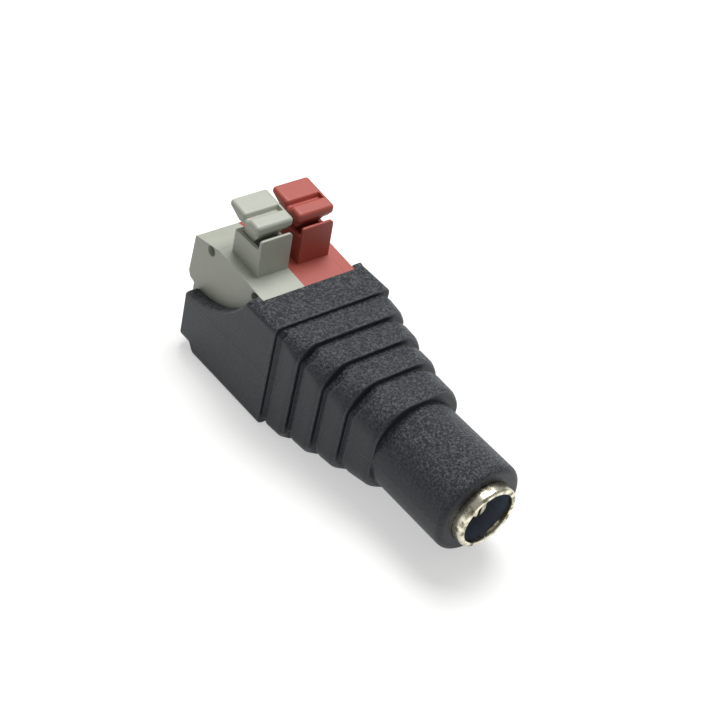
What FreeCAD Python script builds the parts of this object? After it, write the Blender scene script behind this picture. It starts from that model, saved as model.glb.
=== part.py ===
import FreeCAD, Part
import math
import os

import Sketcher

# An in-line power jack: a round socket for a coaxial plug at the front, a moulded boot with
# strain-relief collars, and a two-pole clamp terminal with push levers at the rear.
#
# The origin is the centre of the socket's mouth. The plug goes in along +Y, +Z points up
# through the levers and +X points to the red pole. All lengths are millimetres.

Vector = FreeCAD.Vector
doc = FreeCAD.newDocument("dc_barrel_jack")
sheet = doc.addObject("Spreadsheet::Sheet", "Sizes")

SIZES = {
    # socket, from the bore outwards
    "plug_radius": 2.75,
    "plug_play": 0.05,
    "lip_step": 0.16,
    "core_wall": 0.19,
    "sleeve_wall": 0.2,
    "lip_depth": 0.5,
    "lip_round": 0.28,
    "lip_edge": 0.12,
    "socket_depth": 9.6,
    "core_base_radius": 4.0,
    "core_base_depth": 2.4,
    # split pin
    "pin_radius": 1.0,
    "pin_inset": 1.7,
    "pin_round": 0.45,
    "pin_slot": 0.42,
    "pin_slot_depth": 3.4,
    "pin_root_radius": 1.3,
    "pin_shoulder_radius": 1.7,
    "pin_shoulder": 0.8,
    "tail_radius": 0.65,
    "tail_length": 2.2,
    # outer leaf contact
    "leaf_width": 1.8,
    "leaf_gauge": 0.25,
    "leaf_depth": 2.775,
    "leaf_reach": 5.4,
    "leaf_bend": 1.3,
    "leaf_bulge": 0.4,
    "leaf_play": 0.04,
    # boot
    "boot_inset": 1.2,
    "barrel_radius": 4.85,
    "barrel_length": 9.6,
    "barrel_round": 0.65,
    "collar_pitch": 3.22,
    "last_collar": 3.35,
    "groove_width": 0.62,
    "groove_depth": 0.55,
    "nose_half_width": 5.08,
    "nose_top": 5.48,
    "nose_bottom": 5.02,
    "nose_corner": 3.4,
    "neck_step": 0.13,
    "neck_corner": 0.9,
    "collar_nose": 0.7,
    "collar_fall": 0.32,
    "block_half_height": 6.14,
    "block_corner": 0.7,
    "block_edge": 0.16,
    "block_length": 13.7,
    "bar_length": 3.88,
    "side_wall": 1.45,
    "scoop_radius": 9.7,
    "scoop_behind": 0.5,
    "scoop_wall_height": 6.64,
    "wall_end_round": 0.55,
    "heel_length": 1.45,
    "heel_rise": 0.9,
    "heel_slope": 0.95,
    "chamber_length": 8.0,
    "chamber_half_width": 4.4,
    "chamber_top": 2.6,
    "throat_radius": 3.5,
    "throat_drop": 0.4,
    # terminal modules
    "pole_pitch": 5.0,
    "end_plate": 1.2,
    "housing_wall": 1.0,
    "housing_floor": 1.54,
    "floor_wall": 0.9,
    "heel_overhang": 0.73,
    "hood_overhang": 1.78,
    "hood_foot": 0.65,
    "hood_step": 0.33,
    "hood_step_rise": 0.2,
    "hood_lip": 1.45,
    "hood_round": 0.18,
    "hood_top": 5.99,
    "hood_lean": 0.29,
    "ridge_top": 6.76,
    "ridge_back": 2.4,
    "front_top": 6.06,
    "rear_wall": 2.2,
    # chimneys
    "chimney_offset": 3.1,
    "chimney_width": 3.75,
    "chimney_back": 2.7,
    "chimney_front": 7.05,
    "chimney_wall": 0.6,
    "chimney_side": 0.4,
    "chimney_top": 9.28,
    "apron_top": 10.42,
    "apron_lean": 0.3,
    "apron_corner": 0.35,
    # levers
    "pad_width": 4.4,
    "pad_shift": 0.1,
    "pad_back": 1.45,
    "pad_front": 6.1,
    "pad_top": 12.1,
    "pad_fall": 0.48,
    "pad_rear_depth": 0.65,
    "pad_front_depth": 0.75,
    "pad_belly": 10.3,
    "pad_belly_back": 3.2,
    "pad_belly_front": 5.75,
    "pad_taper": 0.55,
    "neck_foot": 8.95,
    "pad_round": 0.32,
    "pad_groove_back": 3.87,
    "pad_groove_floor": 0.15,
    "pad_groove_width": 0.9,
    "pad_groove_depth": 0.42,
    "pad_rim": 0.62,
    "stem_play": 0.08,
    "stem_depth": 1.5,
    "lug_depth": 0.4,
    "lug_height": 0.7,
    # clamps
    "wire_radius": 1.25,
    "wire_height": 3.35,
    "funnel_radius": 1.85,
    "funnel_depth": 0.9,
    "bar_gauge": 0.6,
    "bar_width": 3.4,
    "bar_bend": 0.7,
    "bar_roof": 2.5,
    "bar_tail_width": 1.6,
    "bar_tail": 2.0,
    "window_play": 0.15,
    "spring_gauge": 0.35,
    "spring_width": 2.6,
    "spring_bend": 1.15,
    "spring_heel": 1.2,
    "spring_front": 1.0,
    "spring_tip_back": 2.0,
    "contact_play": 0.05,
    # stacking pegs and the sockets that take them
    "peg_radius": 0.3,
    "peg_length": 0.5,
    "dimple_radius": 0.5,
    "dimple_depth": 0.65,
    "peg_back": 1.2,
    "peg_height": 5.92,
    "front_peg_back": 8.6,
    "front_peg_height": 5.52,
    # link wires
    "strand_radius": 0.4,
    "cover_radius": 0.75,
    "bare_end": 2.2,
    "wire_lap": 1.7,
    "wire_straight": 2.6,
    "wire_turn": 2.0,
    "solder_radius": 0.8,
    "solder_top": 0.4,
    "solder_cover": 0.12,
}
for row, (alias, number) in enumerate(SIZES.items(), start=1):
    sheet.set(f"A{row}", alias)
    sheet.set(f"B{row}", str(number))
    sheet.setAlias(f"B{row}", alias)
doc.recompute()


class Length:
    """A length worked out from the sheet: its number now, and the expression that gives it."""

    def __init__(self, number, text):
        self.number = number
        self.text = text

    def __add__(self, other):
        other = as_length(other)
        return Length(self.number + other.number, f"({self.text} + {other.text})")

    def __radd__(self, other):
        return as_length(other) + self

    def __sub__(self, other):
        other = as_length(other)
        return Length(self.number - other.number, f"({self.text} - {other.text})")

    def __rsub__(self, other):
        return as_length(other) - self

    def __mul__(self, other):
        other = as_length(other)
        return Length(self.number * other.number, f"({self.text} * {other.text})")

    def __rmul__(self, other):
        return as_length(other) * self

    def __truediv__(self, other):
        other = as_length(other)
        return Length(self.number / other.number, f"({self.text} / {other.text})")

    def __neg__(self):
        return Length(-self.number, f"(0 - {self.text})")


def as_length(value):
    """A plain number as a Length, or the Length itself."""
    return value if isinstance(value, Length) else Length(float(value), repr(float(value)))


def size(alias):
    """One cell of the sheet."""
    return Length(float(sheet.get(alias)), f"Sizes.{alias}")


def bind(thing, prop, value):
    """Ties one property of an object to the sheet."""
    value = as_length(value)
    thing.setExpression(prop, value.text)


def root(value):
    """The square root of a Length."""
    return Length(math.sqrt(value.number), f"sqrt({value.text})")


# Places along the axis, worked out from the sizes
mouth_radius = size("plug_radius") + size("plug_play")
core_bore = mouth_radius + size("lip_step")
sleeve_bore = core_bore + size("core_wall")
sleeve_radius = sleeve_bore + size("sleeve_wall")
core_back = size("socket_depth") + size("core_base_depth")
tail_end = core_back + size("tail_length")
barrel_back = size("boot_inset") + size("barrel_length")
block_front = barrel_back + size("last_collar") + size("groove_width") + size("collar_pitch") * 3
boot_back = block_front + size("block_length")
bay_front = block_front + size("bar_length")
bay_half = size("pole_pitch") + size("end_plate") / 2
block_half_width = bay_half + size("side_wall")
bay_floor = size("housing_floor") - size("block_half_height")
grey_left = -bay_half
red_left = grey_left + size("pole_pitch")
cavity_floor = bay_floor + size("floor_wall")
cavity_roof = size("wire_height") + size("wire_radius") + size("bar_gauge")
cavity_back = boot_back + size("hood_overhang") - size("rear_wall")
cavity_front = bay_front + size("housing_wall")


def body(name):
    """A new body whose label is the name of its file."""
    made = doc.addObject("PartDesign::Body", name)
    made.Label = name
    return made


def plane_of(owner, role):
    """One of the body's own origin planes."""
    for feature in owner.Origin.OriginFeatures:
        if feature.Role == role:
            return feature
    raise RuntimeError(f"no plane {role}")


def new_sketch(owner, name, role, offset):
    """An empty sketch on an origin plane of the body, moved along the plane's normal."""
    sketch = owner.newObject("Sketcher::SketchObject", name)
    sketch.AttachmentSupport = [(plane_of(owner, role), "")]
    sketch.MapMode = "FlatFace"
    bind(sketch, "AttachmentOffset.Base.z", offset)
    return sketch


def pin_point(sketch, geometry, end, across, up):
    """Fixes one end of a line or arc at a place worked out from the sheet."""
    for kind, value in (("DistanceX", across), ("DistanceY", up)):
        value = as_length(value)
        index = sketch.addConstraint(
            Sketcher.Constraint(kind, -1, 1, geometry, end, value.number)
        )
        bind(sketch, f"Constraints[{index}]", value)


def polygon(owner, name, role, offset, corners):
    """A closed outline of straight lines through corners given as (across, up)."""
    sketch = new_sketch(owner, name, role, offset)
    corners = [(as_length(a), as_length(u)) for a, u in corners]
    for start, end in zip(corners, corners[1:] + corners[:1]):
        sketch.addGeometry(
            Part.LineSegment(
                Vector(start[0].number, start[1].number, 0),
                Vector(end[0].number, end[1].number, 0),
            )
        )
    for index, corner in enumerate(corners):
        before = (index - 1) % len(corners)
        sketch.addConstraint(Sketcher.Constraint("Coincident", before, 2, index, 1))
        pin_point(sketch, index, 1, *corner)
    return sketch


def rectangle(owner, name, role, offset, low, high):
    """A rectangle between two opposite corners."""
    corners = [low, (high[0], low[1]), high, (low[0], high[1])]
    return polygon(owner, name, role, offset, corners)


def circle(owner, name, role, offset, across, up, radius):
    """A circle on an origin plane of the body."""
    sketch = new_sketch(owner, name, role, offset)
    across, up, radius = as_length(across), as_length(up), as_length(radius)
    centre = Vector(across.number, up.number, 0)
    sketch.addGeometry(Part.Circle(centre, Vector(0, 0, 1), radius.number))
    pin_point(sketch, 0, 3, across, up)
    index = sketch.addConstraint(Sketcher.Constraint("Radius", 0, radius.number))
    bind(sketch, f"Constraints[{index}]", radius)
    return sketch


def rounded_section(owner, name, back, half_width, top, bottom, corner, foot):
    """A section of the boot across its axis: a rectangle with two corner radii, top and foot."""
    sketch = new_sketch(owner, name, "XZ_Plane", -as_length(back))
    w, t, b, r, f = half_width.number, top.number, -bottom.number, corner.number, foot.number
    right_angle = math.pi / 2
    centres = (
        (w - r, t - r, r, 0), (r - w, t - r, r, 1), (f - w, b + f, f, 2), (w - f, b + f, f, 3)
    )
    for x, z, radius, turn in centres:
        ring = Part.Circle(Vector(x, z, 0), Vector(0, 0, 1), radius)
        sketch.addGeometry(
            Part.ArcOfCircle(ring, turn * right_angle, (turn + 1) * right_angle)
        )
    sides = (
        ((w - r, t), (r - w, t)),
        ((-w, t - r), (-w, b + f)),
        ((f - w, b), (w - f, b)),
        ((w, b + f), (w, t - r)),
    )
    for start, end in sides:
        sketch.addGeometry(Part.LineSegment(Vector(*start, 0), Vector(*end, 0)))
    for arc in range(4):
        line = 4 + arc
        after = (arc + 1) % 4
        sketch.addConstraint(Sketcher.Constraint("Tangent", arc, 2, line, 1))
        sketch.addConstraint(Sketcher.Constraint("Tangent", line, 2, after, 1))
    sketch.addConstraint(Sketcher.Constraint("Equal", 0, 1))
    sketch.addConstraint(Sketcher.Constraint("Equal", 2, 3))
    limits = (
        ("Horizontal", 4, "DistanceY", top),
        ("Vertical", 5, "DistanceX", -half_width),
        ("Horizontal", 6, "DistanceY", -bottom),
        ("Vertical", 7, "DistanceX", half_width),
    )
    for level, line, kind, value in limits:
        sketch.addConstraint(Sketcher.Constraint(level, line))
        index = sketch.addConstraint(Sketcher.Constraint(kind, -1, 1, line, 1, value.number))
        bind(sketch, f"Constraints[{index}]", value)
    for arc, radius in ((0, corner), (2, foot)):
        index = sketch.addConstraint(Sketcher.Constraint("Radius", arc, radius.number))
        bind(sketch, f"Constraints[{index}]", radius)
    return sketch


def pad(owner, name, sketch, length):
    """Material along the sketch's normal."""
    feature = owner.newObject("PartDesign::Pad", name)
    feature.Profile = sketch
    bind(feature, "Length", length)
    doc.recompute()
    return feature


def pocket(owner, name, sketch, length):
    """A cut along the sketch's normal, which has to take material away."""
    before = owner.Shape.Volume
    feature = owner.newObject("PartDesign::Pocket", name)
    feature.Profile = sketch
    feature.Reversed = True
    bind(feature, "Length", length)
    doc.recompute()
    if owner.Shape.Volume >= before:
        raise RuntimeError(f"{name} cuts nothing")
    return feature


def turned(owner, name, sketch):
    """A solid of revolution about the socket's axis."""
    feature = owner.newObject("PartDesign::Revolution", name)
    feature.Profile = sketch
    feature.ReferenceAxis = (sketch, ["H_Axis"])
    feature.Angle = 360
    doc.recompute()
    return feature


def loft(owner, name, sections):
    """Material from section to section, with straight lines between them."""
    feature = owner.newObject("PartDesign::AdditiveLoft", name)
    feature.Profile = sections[0]
    feature.Sections = sections[1:]
    feature.Ruled = True
    doc.recompute()
    return feature


def edge_names(owner, wanted):
    """The names of the edges of the body so far for which wanted(edge) is true."""
    names = [
        f"Edge{index}"
        for index, edge in enumerate(owner.Tip.Shape.Edges, start=1)
        if wanted(edge)
    ]
    if not names:
        raise RuntimeError(f"no such edge on {owner.Label}")
    return names


def round_edges(owner, name, radius, wanted):
    """Rounds the edges for which wanted(edge) is true."""
    base = (owner.Tip, edge_names(owner, wanted))
    feature = owner.newObject("PartDesign::Fillet", name)
    feature.Base = base
    bind(feature, "Radius", radius)
    doc.recompute()
    if "Invalid" in feature.State:
        raise RuntimeError(f"{name} can't be rounded")
    return feature


def bevel_edges(owner, name, width, wanted):
    """Bevels the edges for which wanted(edge) is true."""
    base = (owner.Tip, edge_names(owner, wanted))
    feature = owner.newObject("PartDesign::Chamfer", name)
    feature.Base = base
    bind(feature, "Size", width)
    doc.recompute()
    if "Invalid" in feature.State:
        raise RuntimeError(f"{name} can't be bevelled")
    return feature


def near(value, target, slack=1e-4):
    """Whether two numbers are the same length."""
    return abs(value - as_length(target).number) < slack


def flat_at(edge, axis, target):
    """Whether the whole edge lies in the plane where this axis has this value."""
    box = edge.BoundBox
    low = (box.XMin, box.YMin, box.ZMin)[axis]
    high = (box.XMax, box.YMax, box.ZMax)[axis]
    return near(low, target, 1e-3) and near(high, target, 1e-3)


def along_x_at(edge, back, up):
    """Whether an edge runs along X through this place in the side view."""
    return flat_at(edge, 1, back) and flat_at(edge, 2, up)


Y_AXIS = 1


def taper(back):
    """The collars' half-width, top, bottom and two corner radii at a distance from the mouth."""
    share = (block_front - back) / (block_front - barrel_back)
    neck = block_half_width - size("neck_step")
    half_width = neck + (size("nose_half_width") - neck) * share
    top = size("block_half_height") + (size("nose_top") - size("block_half_height")) * share
    bottom = size("block_half_height") + (size("nose_bottom") - size("block_half_height")) * share
    growth = size("nose_corner") - size("neck_corner")
    corner = size("neck_corner") + growth * (share * 2 - share * share)
    foot = size("neck_corner") + growth * share * share
    return half_width, top, bottom, corner, foot


def make_boot():
    """The moulded boot: block, four collars on a tapering core, barrel, and the bays inside."""
    boot = body("boot")
    half_height = size("block_half_height")
    block = rounded_section(
        boot, "block_section", boot_back, block_half_width, half_height, half_height,
        size("block_corner"), size("block_corner"),
    )
    pad(boot, "block", block, size("block_length"))
    depth = size("groove_depth")

    def section(name, back, inset):
        return rounded_section(boot, name, back, *(length - inset for length in taper(back)))

    loft(
        boot, "collar_core",
        [section("core_rear", block_front, depth), section("core_front", barrel_back, depth)],
    )
    for number in range(4):
        rear = block_front - size("groove_width") - size("collar_pitch") * number
        front = barrel_back if number == 3 else block_front - size("collar_pitch") * (number + 1)
        stations = ((rear, 0), (front + size("collar_nose"), 0), (front, size("collar_fall")))
        sections = [
            section(f"collar_{number + 1}_{place}", back, inset)
            for place, (back, inset) in enumerate(stations, start=1)
        ]
        loft(boot, f"collar_{number + 1}", sections)
    barrel = circle(boot, "barrel_section", "XZ_Plane", -barrel_back, 0, 0, size("barrel_radius"))
    pad(boot, "barrel", barrel, size("barrel_length"))
    bevel_edges(boot, "block_front_edge", size("block_edge"), on_block_front)
    cut_bays(boot)
    return boot


def on_block_front(edge):
    """Whether an edge is on the outline of the block's front face."""
    point = edge.valueAt((edge.FirstParameter + edge.LastParameter) / 2)
    margin = size("groove_depth") / 2
    return flat_at(edge, Y_AXIS, block_front) and (
        abs(point.x) > (block_half_width - margin).number
        or abs(point.z) > (size("block_half_height") - margin).number
    )


def cut_bays(boot):
    """The terminal's bay, the scooped side walls, the raised heel, the chamber and the socket's hole."""
    half_height = size("block_half_height")
    half_width = block_half_width
    bay = polygon(
        boot, "bay_outline", "YZ_Plane", -bay_half,
        [
            (bay_front, bay_floor),
            (boot_back + 1, bay_floor),
            (boot_back + 1, half_height + 1),
            (bay_front, half_height + 1),
        ],
    )
    pocket(boot, "bay", bay, bay_half * 2)
    scoop = circle(
        boot, "scoop_circle", "YZ_Plane", -half_width - 1,
        boot_back - size("scoop_behind"),
        size("scoop_wall_height") - half_height + size("scoop_radius"),
        size("scoop_radius"),
    )
    pocket(boot, "scoop", scoop, half_width * 2 + 2)
    heel_end = boot_back - size("heel_length")
    heel = polygon(
        boot, "heel_outline", "YZ_Plane", -half_width - 1,
        [
            (boot_back + 1, -half_height - 1),
            (boot_back + 1, -half_height + size("heel_rise")),
            (heel_end, -half_height + size("heel_rise")),
            (heel_end - size("heel_slope"), -half_height),
            (heel_end - size("heel_slope"), -half_height - 1),
        ],
    )
    pocket(boot, "heel", heel, half_width * 2 + 2)
    hollow = rectangle(
        boot, "chamber_outline", "XZ_Plane", -bay_front,
        (-size("chamber_half_width"), bay_floor), (size("chamber_half_width"), size("chamber_top")),
    )
    pocket(boot, "chamber", hollow, size("chamber_length"))
    throat_back = bay_front - size("chamber_length")
    throat = circle(
        boot, "throat_circle", "XZ_Plane", -throat_back, 0, -size("throat_drop"),
        size("throat_radius"),
    )
    pocket(boot, "throat", throat, throat_back - core_back)
    base = circle(boot, "core_seat_circle", "XZ_Plane", -core_back, 0, 0, size("core_base_radius"))
    pocket(boot, "core_seat", base, size("core_base_depth"))
    hole = circle(boot, "sleeve_hole_circle", "XZ_Plane", -size("socket_depth"), 0, 0, sleeve_radius)
    pocket(boot, "sleeve_hole", hole, size("socket_depth"))

    def on_barrel_end(edge):
        """The outer edge of the barrel's end face."""
        return flat_at(edge, Y_AXIS, size("boot_inset")) and near(
            edge.BoundBox.ZMax, size("barrel_radius"), 1e-2
        )

    round_edges(boot, "barrel_end", size("barrel_round"), on_barrel_end)

    def on_wall_end(edge):
        """The top rear edges of the two side walls."""
        box = edge.BoundBox
        return (
            flat_at(edge, Y_AXIS, boot_back)
            and near(box.ZMin, box.ZMax)
            and box.ZMin > 0
        )

    round_edges(boot, "wall_ends", size("wall_end_round"), on_wall_end)


def make_sleeve():
    """The plated sleeve with its lip turned in over the end of the core."""
    sleeve = body("jack_sleeve")
    outline = polygon(
        sleeve, "sleeve_outline", "YZ_Plane", 0,
        [
            (0, mouth_radius),
            (0, sleeve_radius),
            (size("socket_depth"), sleeve_radius),
            (size("socket_depth"), sleeve_bore),
            (size("lip_depth"), sleeve_bore),
            (size("lip_depth"), mouth_radius),
        ],
    )
    turned(sleeve, "sleeve_turning", outline)

    def on_ring(radius):
        return lambda edge: flat_at(edge, Y_AXIS, 0) and near(edge.BoundBox.ZMax, radius, 1e-3)

    round_edges(sleeve, "lip_outside", size("lip_round"), on_ring(sleeve_radius))
    bevel_edges(sleeve, "lip_inside", size("lip_edge"), on_ring(mouth_radius))
    return sleeve


def make_core():
    """The insulator: a thin tube inside the sleeve on a thick base that carries both contacts."""
    core = body("jack_core")
    step = core_back - size("pin_shoulder")
    outline = polygon(
        core, "core_outline", "YZ_Plane", 0,
        [
            (size("lip_depth"), core_bore),
            (size("lip_depth"), sleeve_bore),
            (size("socket_depth"), sleeve_bore),
            (size("socket_depth"), size("core_base_radius")),
            (core_back, size("core_base_radius")),
            (core_back, size("pin_shoulder_radius")),
            (step, size("pin_shoulder_radius")),
            (step, size("pin_root_radius")),
            (size("socket_depth"), size("pin_root_radius")),
            (size("socket_depth"), core_bore),
        ],
    )
    turned(core, "core_turning", outline)
    half = size("leaf_width") / 2 + size("leaf_play")
    low = -size("leaf_depth") - size("leaf_play")
    high = -size("leaf_depth") + size("leaf_gauge") + size("leaf_play")
    slot = polygon(
        core, "leaf_slot_outline", "XZ_Plane", -core_back,
        [(-half, low), (half, low), (half, high), (-half, high)],
    )
    pocket(core, "leaf_slot", slot, size("core_base_depth"))
    return core


def make_pin():
    """The split pin, with a root pressed into the core and a solder tail behind its shoulder."""
    pin = body("centre_pin")
    outline = polygon(
        pin, "pin_outline", "YZ_Plane", 0,
        [
            (size("pin_inset"), 0),
            (size("pin_inset"), size("pin_radius")),
            (size("socket_depth"), size("pin_radius")),
            (size("socket_depth"), size("pin_root_radius")),
            (core_back - size("pin_shoulder"), size("pin_root_radius")),
            (core_back - size("pin_shoulder"), size("pin_shoulder_radius")),
            (core_back, size("pin_shoulder_radius")),
            (core_back, size("tail_radius")),
            (tail_end, size("tail_radius")),
            (tail_end, 0),
        ],
    )
    turned(pin, "pin_turning", outline)

    def on_tip(edge):
        return flat_at(edge, Y_AXIS, size("pin_inset")) and near(
            edge.BoundBox.ZMax, size("pin_radius"), 1e-3
        )

    round_edges(pin, "pin_tip", size("pin_round"), on_tip)
    half = size("pin_slot") / 2
    reach = size("pin_radius") + 1
    slot = polygon(
        pin, "pin_slot_outline", "XZ_Plane", -(size("pin_inset") + size("pin_slot_depth")),
        [(-reach, -half), (reach, -half), (reach, half), (-reach, half)],
    )
    pocket(pin, "pin_split", slot, size("pin_slot_depth") + 1)
    return pin


def make_leaf():
    """The leaf that touches the plug's barrel, sprung inwards at its bend, with a flat solder tail."""
    leaf = body("sleeve_leaf")
    low = -size("leaf_depth")
    gauge = size("leaf_gauge")
    free_end = size("socket_depth") - size("leaf_reach")
    line = [
        (tail_end, low),
        (free_end + size("leaf_bend") * 2, low),
        (free_end + size("leaf_bend"), low + size("leaf_bulge")),
        (free_end, low + gauge),
    ]
    upper = [(back, height + gauge) for back, height in reversed(line)]
    outline = polygon(leaf, "leaf_outline", "YZ_Plane", -size("leaf_width") / 2, line + upper)
    pad(leaf, "leaf_strip", outline, size("leaf_width"))
    return leaf


def module_outline(owner, name, offset):
    """The side view that both housings and the end plate share."""
    back = boot_back + size("hood_overhang")
    return polygon(
        owner, name, "YZ_Plane", offset,
        [
            (bay_front, bay_floor),
            (boot_back + size("heel_overhang"), bay_floor),
            (boot_back + size("heel_overhang"), size("hood_foot")),
            (back - size("hood_step"), size("hood_foot") + size("hood_step_rise")),
            (back, size("hood_lip")),
            (back - size("hood_lean"), size("hood_top")),
            (boot_back - size("ridge_back"), size("ridge_top")),
            (bay_front, size("front_top")),
        ],
    )


def round_hood(owner):
    """Softens the hood's outside corners."""
    back = boot_back + size("hood_overhang")

    def on_hood(edge):
        return (
            along_x_at(edge, back, size("hood_lip"))
            or along_x_at(edge, back - size("hood_lean"), size("hood_top"))
            or along_x_at(edge, back - size("hood_step"), size("hood_foot") + size("hood_step_rise"))
        )

    round_edges(owner, "hood_rounds", size("hood_round"), on_hood)


def peg_places():
    """The side-view places of the two stacking pegs."""
    return (
        (boot_back - size("peg_back"), size("peg_height")),
        (boot_back - size("front_peg_back"), size("front_peg_height")),
    )


def cut_dimples(owner):
    """The two shallow sockets in a module's left face."""
    for number, (back, up) in enumerate(peg_places(), start=1):
        ring = circle(owner, f"dimple_circle_{number}", "YZ_Plane", 0, back, up, size("dimple_radius"))
        pocket(owner, f"dimple_{number}", ring, size("dimple_depth"))


cavity_centre = (size("housing_wall") + size("pole_pitch")) / 2
chimney_left = size("chimney_offset") - size("chimney_width") / 2
chimney_right = size("chimney_offset") + size("chimney_width") / 2
chimney_front = boot_back - size("chimney_front")
chimney_back = boot_back - size("chimney_back")


def make_housing(name, left):
    """One module: a shell open on its right, with a hood over the wire entry and a chimney."""
    housing = body(name)
    pad(housing, "shell", module_outline(housing, "shell_outline", 0), size("pole_pitch"))
    round_hood(housing)
    foot = size("front_top") - size("chimney_wall")
    chimney = rectangle(
        housing, "chimney_outline", "XY_Plane", foot,
        (chimney_left, chimney_front + size("apron_lean")), (chimney_right, chimney_back),
    )
    pad(housing, "chimney", chimney, size("chimney_top") - foot)
    apron = polygon(
        housing, "apron_outline", "YZ_Plane", chimney_left,
        [
            (chimney_front, foot),
            (chimney_front + size("chimney_wall"), foot),
            (chimney_front + size("chimney_wall"), size("apron_top")),
            (chimney_front + size("apron_lean"), size("apron_top")),
        ],
    )
    pad(housing, "apron", apron, size("chimney_width"))

    def on_apron_corner(edge):
        """The short edges at the two ends of the apron's top."""
        box = edge.BoundBox
        return near(box.ZMin, size("apron_top"), 1e-3) and near(box.XMax, box.XMin)

    round_edges(housing, "apron_corners", size("apron_corner"), on_apron_corner)
    shaft = rectangle(
        housing, "shaft_outline", "XY_Plane", cavity_roof,
        (chimney_left + size("chimney_side"), chimney_front + size("chimney_wall")),
        (chimney_right - size("chimney_side"), chimney_back - size("chimney_wall")),
    )
    pocket(housing, "shaft", shaft, size("apron_top") - cavity_roof + 1)
    cavity = rectangle(
        housing, "cavity_outline", "YZ_Plane", size("housing_wall"),
        (cavity_front, cavity_floor), (cavity_back, cavity_roof),
    )
    pocket(housing, "cavity", cavity, size("pole_pitch"))
    half_tail = size("bar_tail_width") / 2 + size("contact_play")
    slot = rectangle(
        housing, "tail_slot_outline", "XZ_Plane", -cavity_front,
        (cavity_centre - half_tail, cavity_floor),
        (cavity_centre + half_tail, cavity_floor + size("bar_gauge") + size("contact_play")),
    )
    pocket(housing, "tail_slot", slot, size("housing_wall") + 1)
    hole = circle(
        housing, "wire_hole_circle", "XZ_Plane", -(boot_back + size("hood_overhang") + 1),
        cavity_centre, size("wire_height"), size("wire_radius"),
    )
    pocket(housing, "wire_hole", hole, size("rear_wall") + 1.5)
    funnel = housing.newObject("PartDesign::SubtractiveCone", "funnel")
    funnel.Placement = FreeCAD.Placement(Vector(), FreeCAD.Rotation(Vector(1, 0, 0), -90))
    bind(funnel, "Radius1", size("wire_radius"))
    bind(funnel, "Radius2", size("funnel_radius"))
    bind(funnel, "Height", size("funnel_depth"))
    bind(funnel, "Placement.Base.x", cavity_centre)
    bind(funnel, "Placement.Base.y", boot_back + size("hood_overhang") - size("funnel_depth"))
    bind(funnel, "Placement.Base.z", size("wire_height"))
    doc.recompute()
    cut_dimples(housing)
    for number, (back, up) in enumerate(peg_places(), start=1):
        ring = circle(
            housing, f"peg_circle_{number}", "YZ_Plane", size("pole_pitch"), back, up,
            size("peg_radius"),
        )
        pad(housing, f"peg_{number}", ring, size("peg_length"))
    bind(housing, "Placement.Base.x", left)
    return housing


def make_end_plate():
    """The plate that closes the open side of the last housing."""
    plate = body("red_end_plate")
    pad(plate, "plate", module_outline(plate, "plate_outline", 0), size("end_plate"))
    round_hood(plate)
    cut_dimples(plate)
    bind(plate, "Placement.Base.x", red_left + size("pole_pitch"))
    return plate


bar_underside = cavity_roof - size("bar_gauge")
spring_floor = cavity_floor + size("bar_gauge") + size("spring_gauge") / 2
bend_back = cavity_front + size("spring_front") + size("spring_bend")
bend_up = spring_floor + size("spring_bend")
tip_back = boot_back - size("spring_tip_back")
tip_up = bar_underside - size("contact_play") - size("spring_gauge") / 2
leg_run = tip_back - bend_back
leg_rise = tip_up - bend_up
leg_reach = root(leg_run * leg_run + leg_rise * leg_rise - size("spring_bend") * size("spring_bend"))
leg_slope = (leg_run * leg_rise - size("spring_bend") * leg_reach) / (
    leg_run * leg_run - size("spring_bend") * size("spring_bend")
)


def leg_top(back):
    """The height of the free leg's upper side at a distance from the mouth."""
    half_gauge = size("spring_gauge") / 2 * root(leg_slope * leg_slope + 1)
    return tip_up + leg_slope * (back - tip_back) + half_gauge


stem_back = chimney_back - size("chimney_wall") - size("stem_play")
stem_front = stem_back - size("stem_depth")


def pad_surface(back_distance):
    """The height of the finger pad at a distance ahead of the boot's rear end."""
    share = (back_distance - size("pad_back")) / (size("pad_front") - size("pad_back"))
    return size("pad_top") - size("pad_fall") * share


def taper_head(lever, pad_left):
    """Cuts the head's underside away on both sides, rising outwards at 45 degrees."""
    belly = size("pad_belly")
    run = size("pad_taper")
    for name, side, way in (("left", pad_left, -1), ("right", pad_left + size("pad_width"), 1)):
        wedge = polygon(
            lever, f"{name}_taper_outline", "XZ_Plane", size("pad_back") - 1 - boot_back,
            [
                (side - run * way, belly),
                (side - run * way, belly - 1),
                (side + way, belly - 1),
                (side + way, belly + run + 1),
            ],
        )
        pocket(lever, f"{name}_taper", wedge, size("pad_front") - size("pad_back") + 2)


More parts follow.
